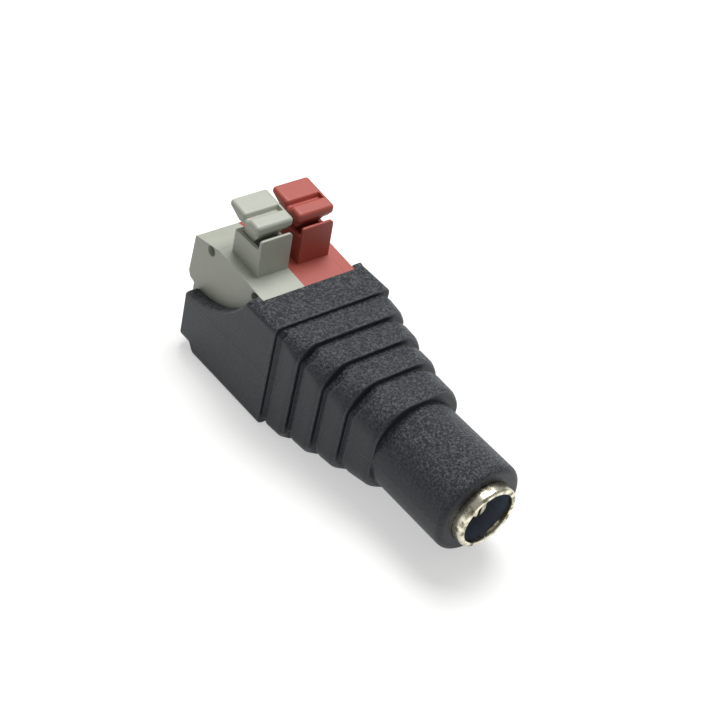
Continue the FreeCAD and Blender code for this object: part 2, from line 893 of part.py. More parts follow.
def make_lever(name, left):
    """A push lever: a two-step finger pad on a stem whose foot bends the clamp spring down."""
    lever = body(name)
    pad_left = size("chimney_offset") + size("pad_shift") - size("pad_width") / 2
    front_top = size("pad_top") - size("pad_fall")
    head = polygon(
        lever, "head_outline", "YZ_Plane", pad_left,
        [
            (boot_back - size("pad_back"), size("pad_top")),
            (boot_back - size("pad_back"), size("pad_top") - size("pad_rear_depth")),
            (boot_back - size("pad_belly_back"), size("pad_belly")),
            (boot_back - size("pad_belly_front"), size("pad_belly")),
            (boot_back - size("pad_front"), front_top - size("pad_front_depth")),
            (boot_back - size("pad_front"), front_top),
        ],
    )
    pad(lever, "head", head, size("pad_width"))

    def above_belly(edge):
        return edge.BoundBox.ZMax > size("pad_belly").number + 0.05

    round_edges(lever, "head_rounds", size("pad_round"), above_belly)
    groove_back = size("pad_groove_back")
    groove_floor = pad_surface(groove_back) - size("pad_groove_depth")
    groove_front = groove_back + size("pad_groove_width")
    groove = polygon(
        lever, "groove_outline", "YZ_Plane", pad_left - 1,
        [
            (boot_back - groove_back, size("pad_top") + 1),
            (boot_back - groove_back, groove_floor),
            (boot_back - groove_back - size("pad_groove_floor"), groove_floor),
            (boot_back - groove_front, pad_surface(groove_front)),
            (boot_back - groove_front, size("pad_top") + 1),
        ],
    )
    pocket(lever, "groove", groove, size("pad_width") + 1 - size("pad_rim"))
    taper_head(lever, pad_left)
    stem_half = size("chimney_width") / 2 - size("chimney_side") - size("stem_play")
    stem = polygon(
        lever, "stem_outline", "YZ_Plane", size("chimney_offset") - stem_half,
        [
            (stem_back, size("pad_belly") + size("pad_round")),
            (boot_back - size("pad_belly_front"), size("pad_belly") + size("pad_round")),
            (boot_back - size("pad_belly_front"), size("pad_belly")),
            (stem_front, size("neck_foot")),
            (stem_front, leg_top(stem_front)),
            (stem_back, leg_top(stem_back)),
        ],
    )
    pad(lever, "stem", stem, stem_half * 2)
    lug_top = cavity_roof - size("contact_play")
    lug = rectangle(
        lever, "lug_outline", "YZ_Plane", size("chimney_offset") - stem_half,
        (stem_front - size("lug_depth"), lug_top - size("lug_height")), (stem_front, lug_top),
    )
    pad(lever, "lug", lug, stem_half * 2)
    bind(lever, "Placement.Base.x", left)
    return lever


def make_contact_bar(name, left):
    """A bent bar: a roof over the wire, a rear leg with a window, a floor and a solder tail."""
    bar = body(name)
    gauge = size("bar_gauge")
    outline = polygon(
        bar, "bar_outline", "YZ_Plane", cavity_centre - size("bar_width") / 2,
        [
            (cavity_front, cavity_floor),
            (cavity_back, cavity_floor),
            (cavity_back, cavity_roof),
            (cavity_back - size("bar_roof"), cavity_roof),
            (cavity_back - size("bar_roof"), bar_underside),
            (cavity_back - gauge, bar_underside),
            (cavity_back - gauge, cavity_floor + gauge),
            (cavity_front, cavity_floor + gauge),
        ],
    )
    pad(bar, "strip", outline, size("bar_width"))

    def on_bend(edge):
        return along_x_at(edge, cavity_back, cavity_floor) or along_x_at(
            edge, cavity_back, cavity_roof
        )

    round_edges(bar, "bends", size("bar_bend"), on_bend)
    half_tail = size("bar_tail_width") / 2
    tail = rectangle(
        bar, "tail_outline", "XY_Plane", cavity_floor,
        (cavity_centre - half_tail, bay_front - size("bar_tail")),
        (cavity_centre + half_tail, cavity_front + gauge),
    )
    pad(bar, "tail", tail, gauge)
    half_window = size("wire_radius") + size("window_play")
    window = rectangle(
        bar, "window_outline", "XZ_Plane", -cavity_back,
        (cavity_centre - half_window, size("wire_height") - half_window),
        (cavity_centre + half_window, bar_underside),
    )
    pocket(bar, "window", window, gauge)
    bind(bar, "Placement.Base.x", left)
    return bar


def make_spring(name, left):
    """A leaf folded to a V: one leg lies on the bar's floor, the other presses up under its roof."""
    spring = body(name)
    path = new_sketch(spring, "spring_path", "YZ_Plane", cavity_centre)
    heel = cavity_back - size("bar_gauge") - size("spring_heel")
    bend = size("spring_bend").number
    centre = Vector(bend_back.number, bend_up.number, 0)
    tip = Vector(tip_back.number, tip_up.number, 0)
    reach = (tip - centre).Length
    towards = math.atan2(tip.y - centre.y, tip.x - centre.x)
    touch = towards + math.acos(bend / reach)
    low = Vector(bend_back.number, spring_floor.number, 0)
    high = centre + Vector(math.cos(touch), math.sin(touch), 0) * bend
    path.addGeometry(Part.LineSegment(Vector(heel.number, spring_floor.number, 0), low))
    path.addGeometry(
        Part.ArcOfCircle(Part.Circle(centre, Vector(0, 0, 1), bend), touch, math.pi * 1.5)
    )
    path.addGeometry(Part.LineSegment(high, tip))
    path.addConstraint(Sketcher.Constraint("Tangent", 0, 2, 1, 2))
    path.addConstraint(Sketcher.Constraint("Tangent", 1, 1, 2, 1))
    pin_point(path, 0, 1, heel, spring_floor)
    pin_point(path, 1, 3, bend_back, bend_up)
    pin_point(path, 2, 2, tip_back, tip_up)
    doc.recompute()
    half_width = size("spring_width") / 2
    half_gauge = size("spring_gauge") / 2
    section = rectangle(
        spring, "spring_section", "XZ_Plane", -heel,
        (cavity_centre - half_width, spring_floor - half_gauge),
        (cavity_centre + half_width, spring_floor + half_gauge),
    )
    strip = spring.newObject("PartDesign::AdditivePipe", "strip")
    strip.Profile = section
    strip.Spine = (path, [])
    doc.recompute()
    bind(spring, "Placement.Base.x", left)
    return spring


def rounded_path(points, radius):
    """A wire through the points, its inner corners rounded by tangent arcs."""
    edges = []
    start = points[0]
    for before, corner, after in zip(points, points[1:], points[2:]):
        back = (before - corner).normalize()
        ahead = (after - corner).normalize()
        half_turn = (math.pi - back.getAngle(ahead)) / 2
        setback = radius * math.tan(half_turn)
        towards = (back + ahead).normalize()
        arc_start = corner + back * setback
        arc_end = corner + ahead * setback
        middle = corner + towards * (radius / math.cos(half_turn) - radius)
        edges.append(Part.LineSegment(start, arc_start).toShape())
        edges.append(Part.Arc(arc_start, middle, arc_end).toShape())
        start = arc_end
    edges.append(Part.LineSegment(start, points[-1]).toShape())
    return Part.Wire(edges)


def tube(points, outer, inner=None):
    """A round wire or its cover along a path that starts along the socket's axis."""
    path = rounded_path(points, size("wire_turn").number)
    ring = Part.Circle(points[0], Vector(0, 1, 0), outer).toShape()
    solid = path.makePipeShell([Part.Wire(ring)], True, False)
    if inner:
        return solid.cut(tube(points, inner))
    return solid


def feature(name, shape):
    """A shape of its own in the document."""
    made = doc.addObject("Part::Feature", name)
    made.Label = name
    made.Shape = shape
    return made


def wire_points(start_up, end_across):
    """A link wire's corners: straight off the solder tail, across, and straight onto the bar's tail."""
    first = tail_end.number - size("wire_lap").number
    last = bay_front.number - size("contact_play").number * 4
    end_up = (cavity_floor + size("bar_gauge") + size("strand_radius")).number
    straight = size("wire_straight").number + size("bare_end").number
    return [
        Vector(0, first, start_up),
        Vector(0, first + straight, start_up),
        Vector(end_across, last - straight, end_up),
        Vector(end_across, last, end_up),
    ]


def make_wire(pole, start_up, end_across):
    """A link wire: its conductor and the cover that stops short of both ends."""
    points = wire_points(start_up, end_across)
    bare = Vector(0, size("bare_end").number, 0)
    covered = [points[0] + bare, points[1], points[2], points[3] - bare]
    strand = size("strand_radius").number
    conductor = feature(f"{pole}_conductor", tube(points, strand))
    cover = feature(f"{pole}_insulation", tube(covered, size("cover_radius").number, strand))
    return conductor, cover


def make_solder(name, foot, strand_up, around):
    """A bead of solder that rises from its foot over the conductor, shaped by what it joins.

    The narrow wedge right under the conductor stays empty.
    """
    radius = size("solder_radius").number
    strand = size("strand_radius").number
    height = strand_up + strand + size("solder_cover").number - foot.z
    bead = Part.makeCone(radius, size("solder_top").number, height, foot)
    wedge = Part.makeBox(strand, 2 * radius, strand_up - foot.z, foot - Vector(strand / 2, radius, 0))
    return feature(name, bead.cut([piece.Shape for piece in around] + [wedge]))


boot = make_boot()
jack_sleeve = make_sleeve()
jack_core = make_core()
centre_pin = make_pin()
sleeve_leaf = make_leaf()
grey_housing = make_housing("grey_housing", grey_left)
red_housing = make_housing("red_housing", red_left)
red_end_plate = make_end_plate()
grey_lever = make_lever("grey_lever", grey_left)
red_lever = make_lever("red_lever", red_left)
grey_bar = make_contact_bar("grey_contact_bar", grey_left)
red_bar = make_contact_bar("red_contact_bar", red_left)
grey_spring = make_spring("grey_spring", grey_left)
red_spring = make_spring("red_spring", red_left)
doc.recompute()

pin_wire_up = (size("tail_radius") + size("strand_radius")).number
leaf_wire_up = (size("leaf_gauge") + size("strand_radius") - size("leaf_depth")).number
red_tail = (red_left + cavity_centre).number
grey_tail = (grey_left + cavity_centre).number
positive_conductor, positive_insulation = make_wire("positive", pin_wire_up, red_tail)
negative_conductor, negative_insulation = make_wire("negative", leaf_wire_up, grey_tail)

front_joint = tail_end.number - size("wire_lap").number / 2
rear_joint = bay_front.number - size("bar_tail").number / 2
leaf_top = (size("leaf_gauge") - size("leaf_depth")).number
bar_top = (cavity_floor + size("bar_gauge")).number
bar_wire_up = bar_top + size("strand_radius").number
pin_solder = make_solder(
    "pin_solder", Vector(0, front_joint, size("tail_radius").number / 2), pin_wire_up,
    [centre_pin, positive_conductor],
)
leaf_solder = make_solder(
    "leaf_solder", Vector(0, front_joint, leaf_top), leaf_wire_up, [negative_conductor]
)
red_solder = make_solder(
    "red_solder", Vector(red_tail, rear_joint, bar_top), bar_wire_up, [positive_conductor]
)
grey_solder = make_solder(
    "grey_solder", Vector(grey_tail, rear_joint, bar_top), bar_wire_up, [negative_conductor]
)

NODES = [
    boot, jack_sleeve, jack_core, centre_pin, sleeve_leaf,
    grey_housing, red_housing, red_end_plate, grey_lever, red_lever,
    grey_spring, red_spring, grey_bar, red_bar,
    positive_conductor, positive_insulation, negative_conductor, negative_insulation,
    pin_solder, leaf_solder, red_solder, grey_solder,
]

doc.recompute()
failed = [made.Name for made in doc.Objects if {"Invalid", "Error"} & set(made.State)]
if failed:
    raise RuntimeError(f"failed objects: {failed}")
for node in NODES:
    if node.Shape.isNull() or not node.Shape.isValid():
        raise RuntimeError(f"bad shape: {node.Label}")

os.makedirs("parts", exist_ok=True)
for node in NODES:
    node.Shape.exportStep(f"parts/{node.Label}.step")
    print(f"{node.Label}: {len(node.Shape.Solids)} solid, {node.Shape.Volume:.3f} mm3")
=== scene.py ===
import math

import bmesh
import bpy
import numpy as np
from mathutils import Matrix, Vector


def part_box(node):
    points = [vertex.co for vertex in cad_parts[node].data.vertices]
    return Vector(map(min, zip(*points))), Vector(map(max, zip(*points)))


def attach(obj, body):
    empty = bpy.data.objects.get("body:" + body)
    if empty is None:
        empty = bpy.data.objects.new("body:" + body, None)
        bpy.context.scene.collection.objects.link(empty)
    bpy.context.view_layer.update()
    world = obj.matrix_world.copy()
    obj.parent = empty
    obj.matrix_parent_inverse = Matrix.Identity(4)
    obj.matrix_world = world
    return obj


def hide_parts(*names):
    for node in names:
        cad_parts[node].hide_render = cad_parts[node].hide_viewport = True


# An in-line power jack with a two-pole push-lever terminal. Places are worked out in
# millimetres, in the solid model's frame: the socket's mouth is at the origin, a plug goes in
# along +Y, the levers point up +Z and the red pole is at +X. Meshes are in metres.

MM = 0.001
RIGHT_ANGLE = math.pi / 2

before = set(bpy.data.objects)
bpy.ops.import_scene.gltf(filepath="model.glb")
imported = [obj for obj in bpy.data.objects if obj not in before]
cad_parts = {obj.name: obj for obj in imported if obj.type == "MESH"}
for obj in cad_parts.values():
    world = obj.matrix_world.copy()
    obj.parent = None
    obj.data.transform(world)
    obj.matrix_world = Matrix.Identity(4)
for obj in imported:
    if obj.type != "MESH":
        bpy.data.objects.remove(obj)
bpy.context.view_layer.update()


def box_mm(node):
    """The lowest and highest corners of a solid, in millimetres."""
    low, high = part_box(node)
    return np.array(low) / MM, np.array(high) / MM


# Places read from the solids
BOOT_LOW, BOOT_HIGH = box_mm("boot")
SLEEVE_HIGH = box_mm("jack_sleeve")[1]
GREY_LOW, GREY_HIGH = box_mm("grey_housing")
RED_LOW = box_mm("red_housing")[0]
PLATE_LOW, PLATE_HIGH = box_mm("red_end_plate")
PIN_HIGH = box_mm("centre_pin")[1]
GREY_PAD_LOW, GREY_PAD_HIGH = box_mm("grey_lever")
RED_PAD_LOW, RED_PAD_HIGH = box_mm("red_lever")

HALF_WIDTH = BOOT_HIGH[0]
HALF_HEIGHT = BOOT_HIGH[2]
BOOT_FRONT = BOOT_LOW[1]
BOOT_BACK = BOOT_HIGH[1]
SLEEVE_RADIUS = SLEEVE_HIGH[0]
SLEEVE_BACK = SLEEVE_HIGH[1]
PIN_BACK = PIN_HIGH[1]
MODULE_FRONT = GREY_LOW[1]
MODULE_BACK = GREY_HIGH[1]
MODULE_FLOOR = GREY_LOW[2]
BAY_HALF = -GREY_LOW[0]
POLE_PITCH = RED_LOW[0] - GREY_LOW[0]

# Steps along rounded corners, rounded edges and the boot's own corners and rims
OUTLINE_STEPS = 6
EDGE_STEPS = 4
CORNER_STEPS = 14
RIM_STEPS = 4
# Points nearer than this become one, and no corner of a prism is sharper than this
MERGE_DISTANCE = 0.0005
SHARPEST_RADIUS = 0.001

# The boot, from its front end
HOLE_DEPTH = 2.0
HOLE_EDGE = 0.08
BARREL_RADIUS = 4.85
BARREL_BACK = BOOT_FRONT + 9.6
BARREL_ROUND = 0.65
BARREL_FLARE = 0.06
BARREL_FLARE_RUN = 0.1
BLOCK_FRONT = BOOT_BACK - 13.7
COLLAR_PITCH = 3.22
LAST_COLLAR = 3
COLLAR_ROUND = 0.16
COLLAR_NOSE = 0.75
NOSE_STATIONS = 6
COLLAR_SPREAD = 0.4
# A groove's wall is upright for this share of its depth, and its foot runs in this far
GROOVE_WALL_SHARE = 0.85
GROOVE_FOOT_RUN = 0.08
# Where the closed sections keep the bay's points, as a share of the top face
TOP_POINT_SHARE = 0.8
# Half-width, top, bottom, corner radius and foot radius at the barrel and at the block, and how
# far each bows out between them
NOSE = np.array([4.88, 5.44, 4.92, 3.4, 3.7])
NECK = np.array([6.87, HALF_HEIGHT, HALF_HEIGHT, 0.92, 0.74])
BOW = np.array([0.06, 0, 0.11, 0, 0.5])
# The collars on their flat sides and on their corners: the groove's width, the rear edge's run
# and drop, and what the five sizes lose at the front edge and in the groove
FLAT_COLLAR = {
    "groove": 0.54,
    "rear": (0.2, 0.2),
    "fall": np.array([0.1, 0.08, 0.1, 0.1, 0.1]),
    "depth": np.array([0.46, 0.5, 0.5, 0.2, 0.2]),
}
CORNER_COLLAR = {
    "groove": 0.93,
    "rear": (0.28, 0.29),
    "fall": np.array([0.34, 0.15, 0.55, 0.1, 0.1]),
    "depth": np.array([0.7, 0.7, 0.7, 0.2, 0.2]),
}
BLOCK_CORNER = 0.7
BLOCK_EDGE = 0.16
# The side walls' rim follows a circle about (SCOOP_BACK, SCOOP_UP)
SCOOP_RADIUS = 9.9
SCOOP_BACK = BOOT_BACK - 0.35
SCOOP_UP = 10.55
SCOOP_STATIONS = 60
RIM_ROUND = 0.3
# The rim's rounding shrinks where the rim comes this near to the parting line
RIM_CLEAR = 0.27
RIM_ROUND_LEAST = 0.02
WALL_END_ROUND = 0.4
WALL_END_STATIONS = np.linspace(0.05, 0.85, 9)
BAY_STEP = 0.02
BAY_LEAD = 0.1
BAY_LEAD_STATIONS = 5
BACK_EDGE = 0.12
HEEL_RISE = 0.9
HEEL_FRONT = BOOT_BACK - 2.4
HEEL_SLOPE = 0.95
PARTING_HEIGHT = 0.022
PARTING_POINTS = np.array([[-0.12, -0.05, 0, 0.05, 0.12]])
# Arcs start, and guard points stay, at least this far from the parting line
ARC_CLEAR = 0.2
GUARD_CLEAR = 0.13
SIDE_GUARDS = np.array([0.2, 0.45])
# Beside the block, over this reach, the corners take only a share of the corner collars' form
FIRST_GROOVE_REACH = 1.6
FIRST_GROOVE_SHARE = 0.45

# The plated sleeve's lip
LIP_RADIUS = 2.8
LIP_BACK = 0.5
LIP_ROUND = 0.3
LIP_INNER_ROUND = 0.12
SLEEVE_WALL = 0.2

# The split pin and the saw that splits it
PIN_TIP = 1.2
PIN_RADIUS = 1.0
PIN_DOME = 0.35
PIN_SLOT = 0.36
PIN_SLOT_LENGTH = 3.5
SAW_AHEAD = 1.0
SAW_PAST = 0.5
SAW_CORNER = 0.02

# The terminal modules' side view from the lower front corner round, as (y, z), and its radii
MODULE_CORNERS = np.array(
    [
        [MODULE_FRONT, MODULE_FLOOR],
        [MODULE_BACK - 1.05, MODULE_FLOOR],
        [MODULE_BACK - 1.05, 0.65],
        [MODULE_BACK - 0.33, 0.85],
        [MODULE_BACK, 1.45],
        [MODULE_BACK - 0.29, 5.99],
        [BOOT_BACK - 2.4, 6.76],
        [MODULE_FRONT, 6.06],
    ]
)
MODULE_RADII = np.array([0.05, 0.1, 0.12, 0.18, 0.25, 0.22, 0.4, 0.02])
MODULE_EDGE = 0.02

# Their chimneys, wire entries and pegs' sockets
CHIMNEY_OFFSET = 3.1
CHIMNEY_HALF = 1.875
CHIMNEY_WALL = 0.6
CHIMNEY_SIDE = 0.4
CHIMNEY_FRONT = BOOT_BACK - 7.05
CHIMNEY_BACK = BOOT_BACK - 2.7
CHIMNEY_TOP = 9.28
CHIMNEY_CORNER = 0.12
CHIMNEY_EDGE = 0.07
CHIMNEY_ROOT = 0.1
APRON_TOP = 10.42
APRON_LEAN = 0.3
APRON_RADII = np.array([0.05, 0.05, 0.45, 0.25])
APRON_EDGE = 0.1
SHAFT_FOOT = 5.2
SHAFT_CORNER = 0.08
SHAFT_PAST = 1
CUTTER_EDGE = 0.01
ENTRY_ACROSS = 3.0
ENTRY_UP = 3.35
ENTRY_PROFILE = (
    (-3.2, 1.25), (-0.95, 1.25), (-0.85, 1.29), (-0.03, 1.85), (0.0, 1.88), (0.5, 2.2),
)
ENTRY_SIDES = 48
# Each socket's y, z and radius
PEG_SOCKETS = ((BOOT_BACK - 1.2, 5.92, 0.55), (BOOT_BACK - 8.6, 5.48, 0.6))
PEG_SOCKET_DEPTH = 1.2
PEG_SOCKET_AHEAD = 0.5
PEG_SOCKET_EDGE = 0.03
PEG_SOCKET_EDGE_DEPTH = 0.05
PEG_SOCKET_SIDES = 32

# The levers, in the side view
PAD_ROUND = 0.4
PAD_TOP = 12.1
PAD_FALL = 0.48
PAD_BELLY = 10.3
PAD_BELLY_FRONT = BOOT_BACK - 5.75
PAD_BELLY_BACK = BOOT_BACK - 3.2
PAD_FRONT_DEPTH = 0.75
PAD_BACK_DEPTH = 0.65
PAD_RADII = np.array([0.28, 0.26, 0.1, 0.12, 0.36, 0.4, 0.3, 0.2, 0.3, 0.28])
PAD_TAPER = 0.55
PAD_RIM = 0.46
PAD_RAMP = 0.03
NECK_FOOT = 8.95
STEM_PLAY = 0.08
STEM_DEPTH = 1.5
STEM_OVERLAP = 0.3
STEM_RADII = np.array([0.1, 0.05, 0.05, 0.05, 0.3, 0.1])
STEM_EDGE = 0.12
GROOVE_BACK = BOOT_BACK - 3.87
GROOVE_FRONT = GROOVE_BACK - 0.85
GROOVE_DROP = 0.5
GROOVE_WALL_FOOT = GROOVE_BACK - 0.16
GROOVE_FLOOR_END = GROOVE_BACK - 0.4
PAD_LEAST_RADIUS = 0.02


def grid_faces(rows, columns):
    """Quads between neighbouring rows of points, with the last column joined to the first."""
    row, column = np.meshgrid(np.arange(rows - 1), np.arange(columns), indexing="ij")
    after = (column + 1) % columns
    start = row * columns
    faces = np.stack(
        [start + column, start + after, start + columns + after, start + columns + column], axis=-1
    )
    return faces.reshape(-1, 4)


def skin(name, rings, close_ends=True):
    """A closed surface through rings of points, given in millimetres as (ring, point, xyz).

    Points that all but meet become one, so that rings may shrink to a point, and the normals
    are turned outwards.
    """
    merge = MERGE_DISTANCE * MM
    rows, columns = rings.shape[:2]
    faces = [tuple(face) for face in grid_faces(rows, columns).tolist()]
    if close_ends:
        faces.append(tuple(range(columns))[::-1])
        faces.append(tuple(range((rows - 1) * columns, rows * columns)))
    mesh = bpy.data.meshes.new(name)
    mesh.from_pydata((rings.reshape(-1, 3) * MM).tolist(), [], faces)
    work = bmesh.new()
    work.from_mesh(mesh)
    bmesh.ops.remove_doubles(work, verts=work.verts, dist=merge)
    bmesh.ops.dissolve_degenerate(work, edges=work.edges, dist=merge)
    bmesh.ops.recalc_face_normals(work, faces=work.faces)
    work.to_mesh(mesh)
    work.free()
    piece = bpy.data.objects.new(name, mesh)
    bpy.context.collection.objects.link(piece)
    return piece


def smooth(piece, sharp_degrees=35):
    """Smooth shading, broken where faces meet at more than the given angle.

    Each face also keeps how tightly it bends outwards, in 1/mm: half the sum over its edges of
    signed angle * length, over its area.
    """
    mesh = piece.data
    mesh.polygons.foreach_set("use_smooth", np.ones(len(mesh.polygons), bool))
    work = bmesh.new()
    work.from_mesh(mesh)
    limit = math.radians(sharp_degrees)
    for edge in work.edges:
        edge.smooth = len(edge.link_faces) != 2 or edge.calc_face_angle() < limit
    turned = [
        sum(edge.calc_face_angle_signed(0.0) * edge.calc_length() for edge in face.edges)
        for face in work.faces
    ]
    area = np.array([face.calc_area() for face in work.faces])
    work.to_mesh(mesh)
    bend = mesh.attributes.new("edge_bend", "FLOAT", "FACE")
    bend.data.foreach_set("value", np.array(turned) / 2 / np.maximum(area, 1e-12) * MM)
    work.free()
    weighted = piece.modifiers.new("weighted_normals", "WEIGHTED_NORMAL")
    weighted.keep_sharp = True
    return piece


def cut(piece, *tools):
    """Takes the tools' volumes out of the piece and deletes the tools."""
    for tool in tools:
        knife = piece.modifiers.new("cut", "BOOLEAN")
        knife.operation = "DIFFERENCE"
        knife.solver = "EXACT"
        knife.object = tool
    apply_modifiers(piece)
    for tool in tools:
        bpy.data.objects.remove(tool)


def join(piece, *others):
    """Adds the others' volumes to the piece and deletes the others."""
    for other in others:
        weld = piece.modifiers.new("join", "BOOLEAN")
        weld.operation = "UNION"
        weld.solver = "EXACT"
        weld.object = other
    apply_modifiers(piece)
    for other in others:
        bpy.data.objects.remove(other)


def apply_modifiers(piece):
    """Replaces the piece's mesh by what its modifiers make of it."""
    graph = bpy.context.evaluated_depsgraph_get()
    mesh = bpy.data.meshes.new_from_object(piece.evaluated_get(graph))
    piece.modifiers.clear()
    piece.data = mesh


def rounded_outline(corners, radii):
    """Outlines with round corners, for corners of shape (ring, corner, 2).

    Each corner becomes an arc tangent to both of its sides: it starts radius * tan(turn / 2)
    before the corner, and its points turn evenly about the arc's centre.
    """
    corners = np.asarray(corners, float)
    radii = np.broadcast_to(np.asarray(radii, float), corners.shape[:2])
    back = np.roll(corners, 1, axis=1) - corners
    ahead = np.roll(corners, -1, axis=1) - corners
    back /= np.linalg.norm(back, axis=2, keepdims=True)
    ahead /= np.linalg.norm(ahead, axis=2, keepdims=True)
    inner = np.arccos(np.clip((back * ahead).sum(2), -1, 1))
    turn = math.pi - inner
    setback = radii * np.tan(turn / 2)
    side = np.sign(back[..., 1] * ahead[..., 0] - back[..., 0] * ahead[..., 1])
    normal = np.stack([back[..., 1], -back[..., 0]], axis=-1) * side[..., None]
    start = corners + back * setback[..., None]
    centre = start + normal * radii[..., None]
    angle = turn[..., None] * np.linspace(0, 1, OUTLINE_STEPS + 1) * -side[..., None]
    spoke = start - centre
    x = spoke[..., 0, None] * np.cos(angle) + spoke[..., 1, None] * np.sin(angle)
    y = -spoke[..., 0, None] * np.sin(angle) + spoke[..., 1, None] * np.cos(angle)
    points = centre[..., None, :] + np.stack([x, y], axis=-1)
    return points.reshape(corners.shape[0], -1, 2)


def inset_corners(corners, distance):
    """Corners of the outlines with every side moved inwards by a distance for each ring."""
    corners = np.asarray(corners, float)
    after = np.roll(corners, -1, axis=1)
    along = after - corners
    along /= np.linalg.norm(along, axis=2, keepdims=True)
    area = (corners[..., 0] * after[..., 1] - corners[..., 1] * after[..., 0]).sum(1)
    inwards = np.stack([-along[..., 1], along[..., 0]], axis=-1) * np.sign(area)[:, None, None]
    before_inwards = np.roll(inwards, 1, axis=1)
    mid = inwards + before_inwards
    mid /= (mid * inwards).sum(2, keepdims=True)
    return corners + mid * np.asarray(distance, float)[:, None, None]


def quarter(steps=5):
    """Sine and cosine of a quarter turn in even steps."""
    turn = np.linspace(0, RIGHT_ANGLE, steps + 1)
    return np.sin(turn), np.cos(turn)


def prism_rings(corners, radii, low, high, edge):
    """Rings of a prism with rounded corners and rounded end edges.

    Near each end, at angle t of a quarter turn, the outline is moved in by edge * (1 - sin t)
    and stands edge * (1 - cos t) from the end face.
    """
    corners = np.asarray(corners, float)
    sine, cosine = quarter(EDGE_STEPS)
    inset = edge * (1 - sine)
    height = edge * (1 - cosine)
    places = np.concatenate([low + height, high - height[::-1]])
    insets = np.concatenate([inset, inset[::-1]])
    many = np.broadcast_to(corners, (len(places),) + corners.shape)
    turned_in = inset_corners(many, insets)
    convex = corner_signs(corners)
    soft = np.maximum(radii - insets[:, None] * convex[None], SHARPEST_RADIUS)
    return rounded_outline(turned_in, soft), places


def corner_signs(corners):
    """1 at each corner that points out of the outline and -1 at each that points in."""
    before = corners - np.roll(corners, 1, axis=0)
    after = np.roll(corners, -1, axis=0) - corners
    bend = before[:, 0] * after[:, 1] - before[:, 1] * after[:, 0]
    return np.sign(bend) * np.sign(bend.sum())


def prism_along_x(name, corners, radii, low, high, edge):
    """A rounded prism whose outline is given as (y, z)."""
    rings, places = prism_rings(corners, radii, low, high, edge)
    across = np.broadcast_to(places[:, None, None], rings.shape[:2] + (1,))
    return skin(name, np.concatenate([across, rings], axis=2))


def prism_along_z(name, corners, radii, low, high, edge):
    """A rounded prism whose outline is given as (x, y)."""
    rings, places = prism_rings(corners, radii, low, high, edge)
    up = np.broadcast_to(places[:, None, None], rings.shape[:2] + (1,))
    return skin(name, np.concatenate([rings, up], axis=2))


def turned_rings(profile, sides):
    """Rings about the socket's axis for a profile of (y, radius) points."""
    profile = np.asarray(profile, float)
    angle = np.linspace(0, 2 * math.pi, sides, endpoint=False)
    radius = profile[:, 1, None]
    return np.stack(
        [
            radius * np.cos(angle),
            np.broadcast_to(profile[:, 0, None], (len(profile), sides)),
            radius * np.sin(angle),
        ],
        axis=-1,
    )


def arc(centre, radius, first, last, steps):
    """Points (y, radius) on an arc between two angles in degrees."""
    angle = np.radians(np.linspace(first, last, steps + 1))
    return np.stack(
        [centre[0] + radius * np.cos(angle), centre[1] + radius * np.sin(angle)], axis=-1
    )


def box_corners(left, front, right, back):
    """The corners of a rectangle."""
    return np.array([[left, front], [right, front], [right, back], [left, back]])


# The boot


def taper(back):
    """Half-width, top, bottom, corner and foot radius of the collars at places along the axis.

    With s from 0 at the block to 1 at the barrel, the lengths are neck + (nose - neck) s +
    4 bow s (1 - s), the corners neck + (nose - neck) (2 s - s^2), and the feet
    neck + (nose - neck) s^2.
    """
    share = ((BLOCK_FRONT - back) / (BLOCK_FRONT - BARREL_BACK))[:, None]
    growth = np.hstack([share, share, share, 2 * share - share**2, share**2])
    return NECK + (NOSE - NECK) * growth + 4 * BOW * share * (1 - share)


def collar_rows(number, shape):
    """Places along one collar and what its five sizes lose there.

    At distance d from the front edge it still lacks fall * (1 - d / nose)^2, and the losses
    grow by spread from front to rear. The front edge is a quarter circle, and the rear edge a
    quarter of an ellipse. The floor of the grooves lies depth below.
    """
    sine, cosine = quarter()
    rear = BLOCK_FRONT - shape["groove"] - COLLAR_PITCH * number
    last = number == LAST_COLLAR
    front = BARREL_BACK if last else BLOCK_FRONT - COLLAR_PITCH * (number + 1)
    rear_run, rear_drop = shape["rear"]
    back = np.concatenate(
        [
            front + COLLAR_ROUND * (1 - cosine),
            np.linspace(front + COLLAR_ROUND, front + COLLAR_NOSE, NOSE_STATIONS + 1)[1:],
            rear - rear_run * (1 - cosine[::-1]),
        ]
    )
    inset = np.concatenate(
        [COLLAR_ROUND * (1 - sine), np.zeros(NOSE_STATIONS), rear_drop * (1 - sine[::-1])]
    )
    fall = np.clip(1 - (back - front) / COLLAR_NOSE, 0, 1)[:, None] ** 2 * shape["fall"]
    spread = COLLAR_SPREAD * ((back - front) / (rear - front) - 0.5)
    loss = inset[:, None] + fall + spread[:, None]
    wall = shape["depth"] * np.array([[GROOVE_WALL_SHARE], [1]])
    behind = [rear, rear + GROOVE_FOOT_RUN]
    if last:
        return np.concatenate([back, behind]), np.concatenate([loss, wall])
    ahead = [front - GROOVE_FOOT_RUN, front]
    return np.concatenate([ahead, back, behind]), np.concatenate([wall[::-1], loss, wall])


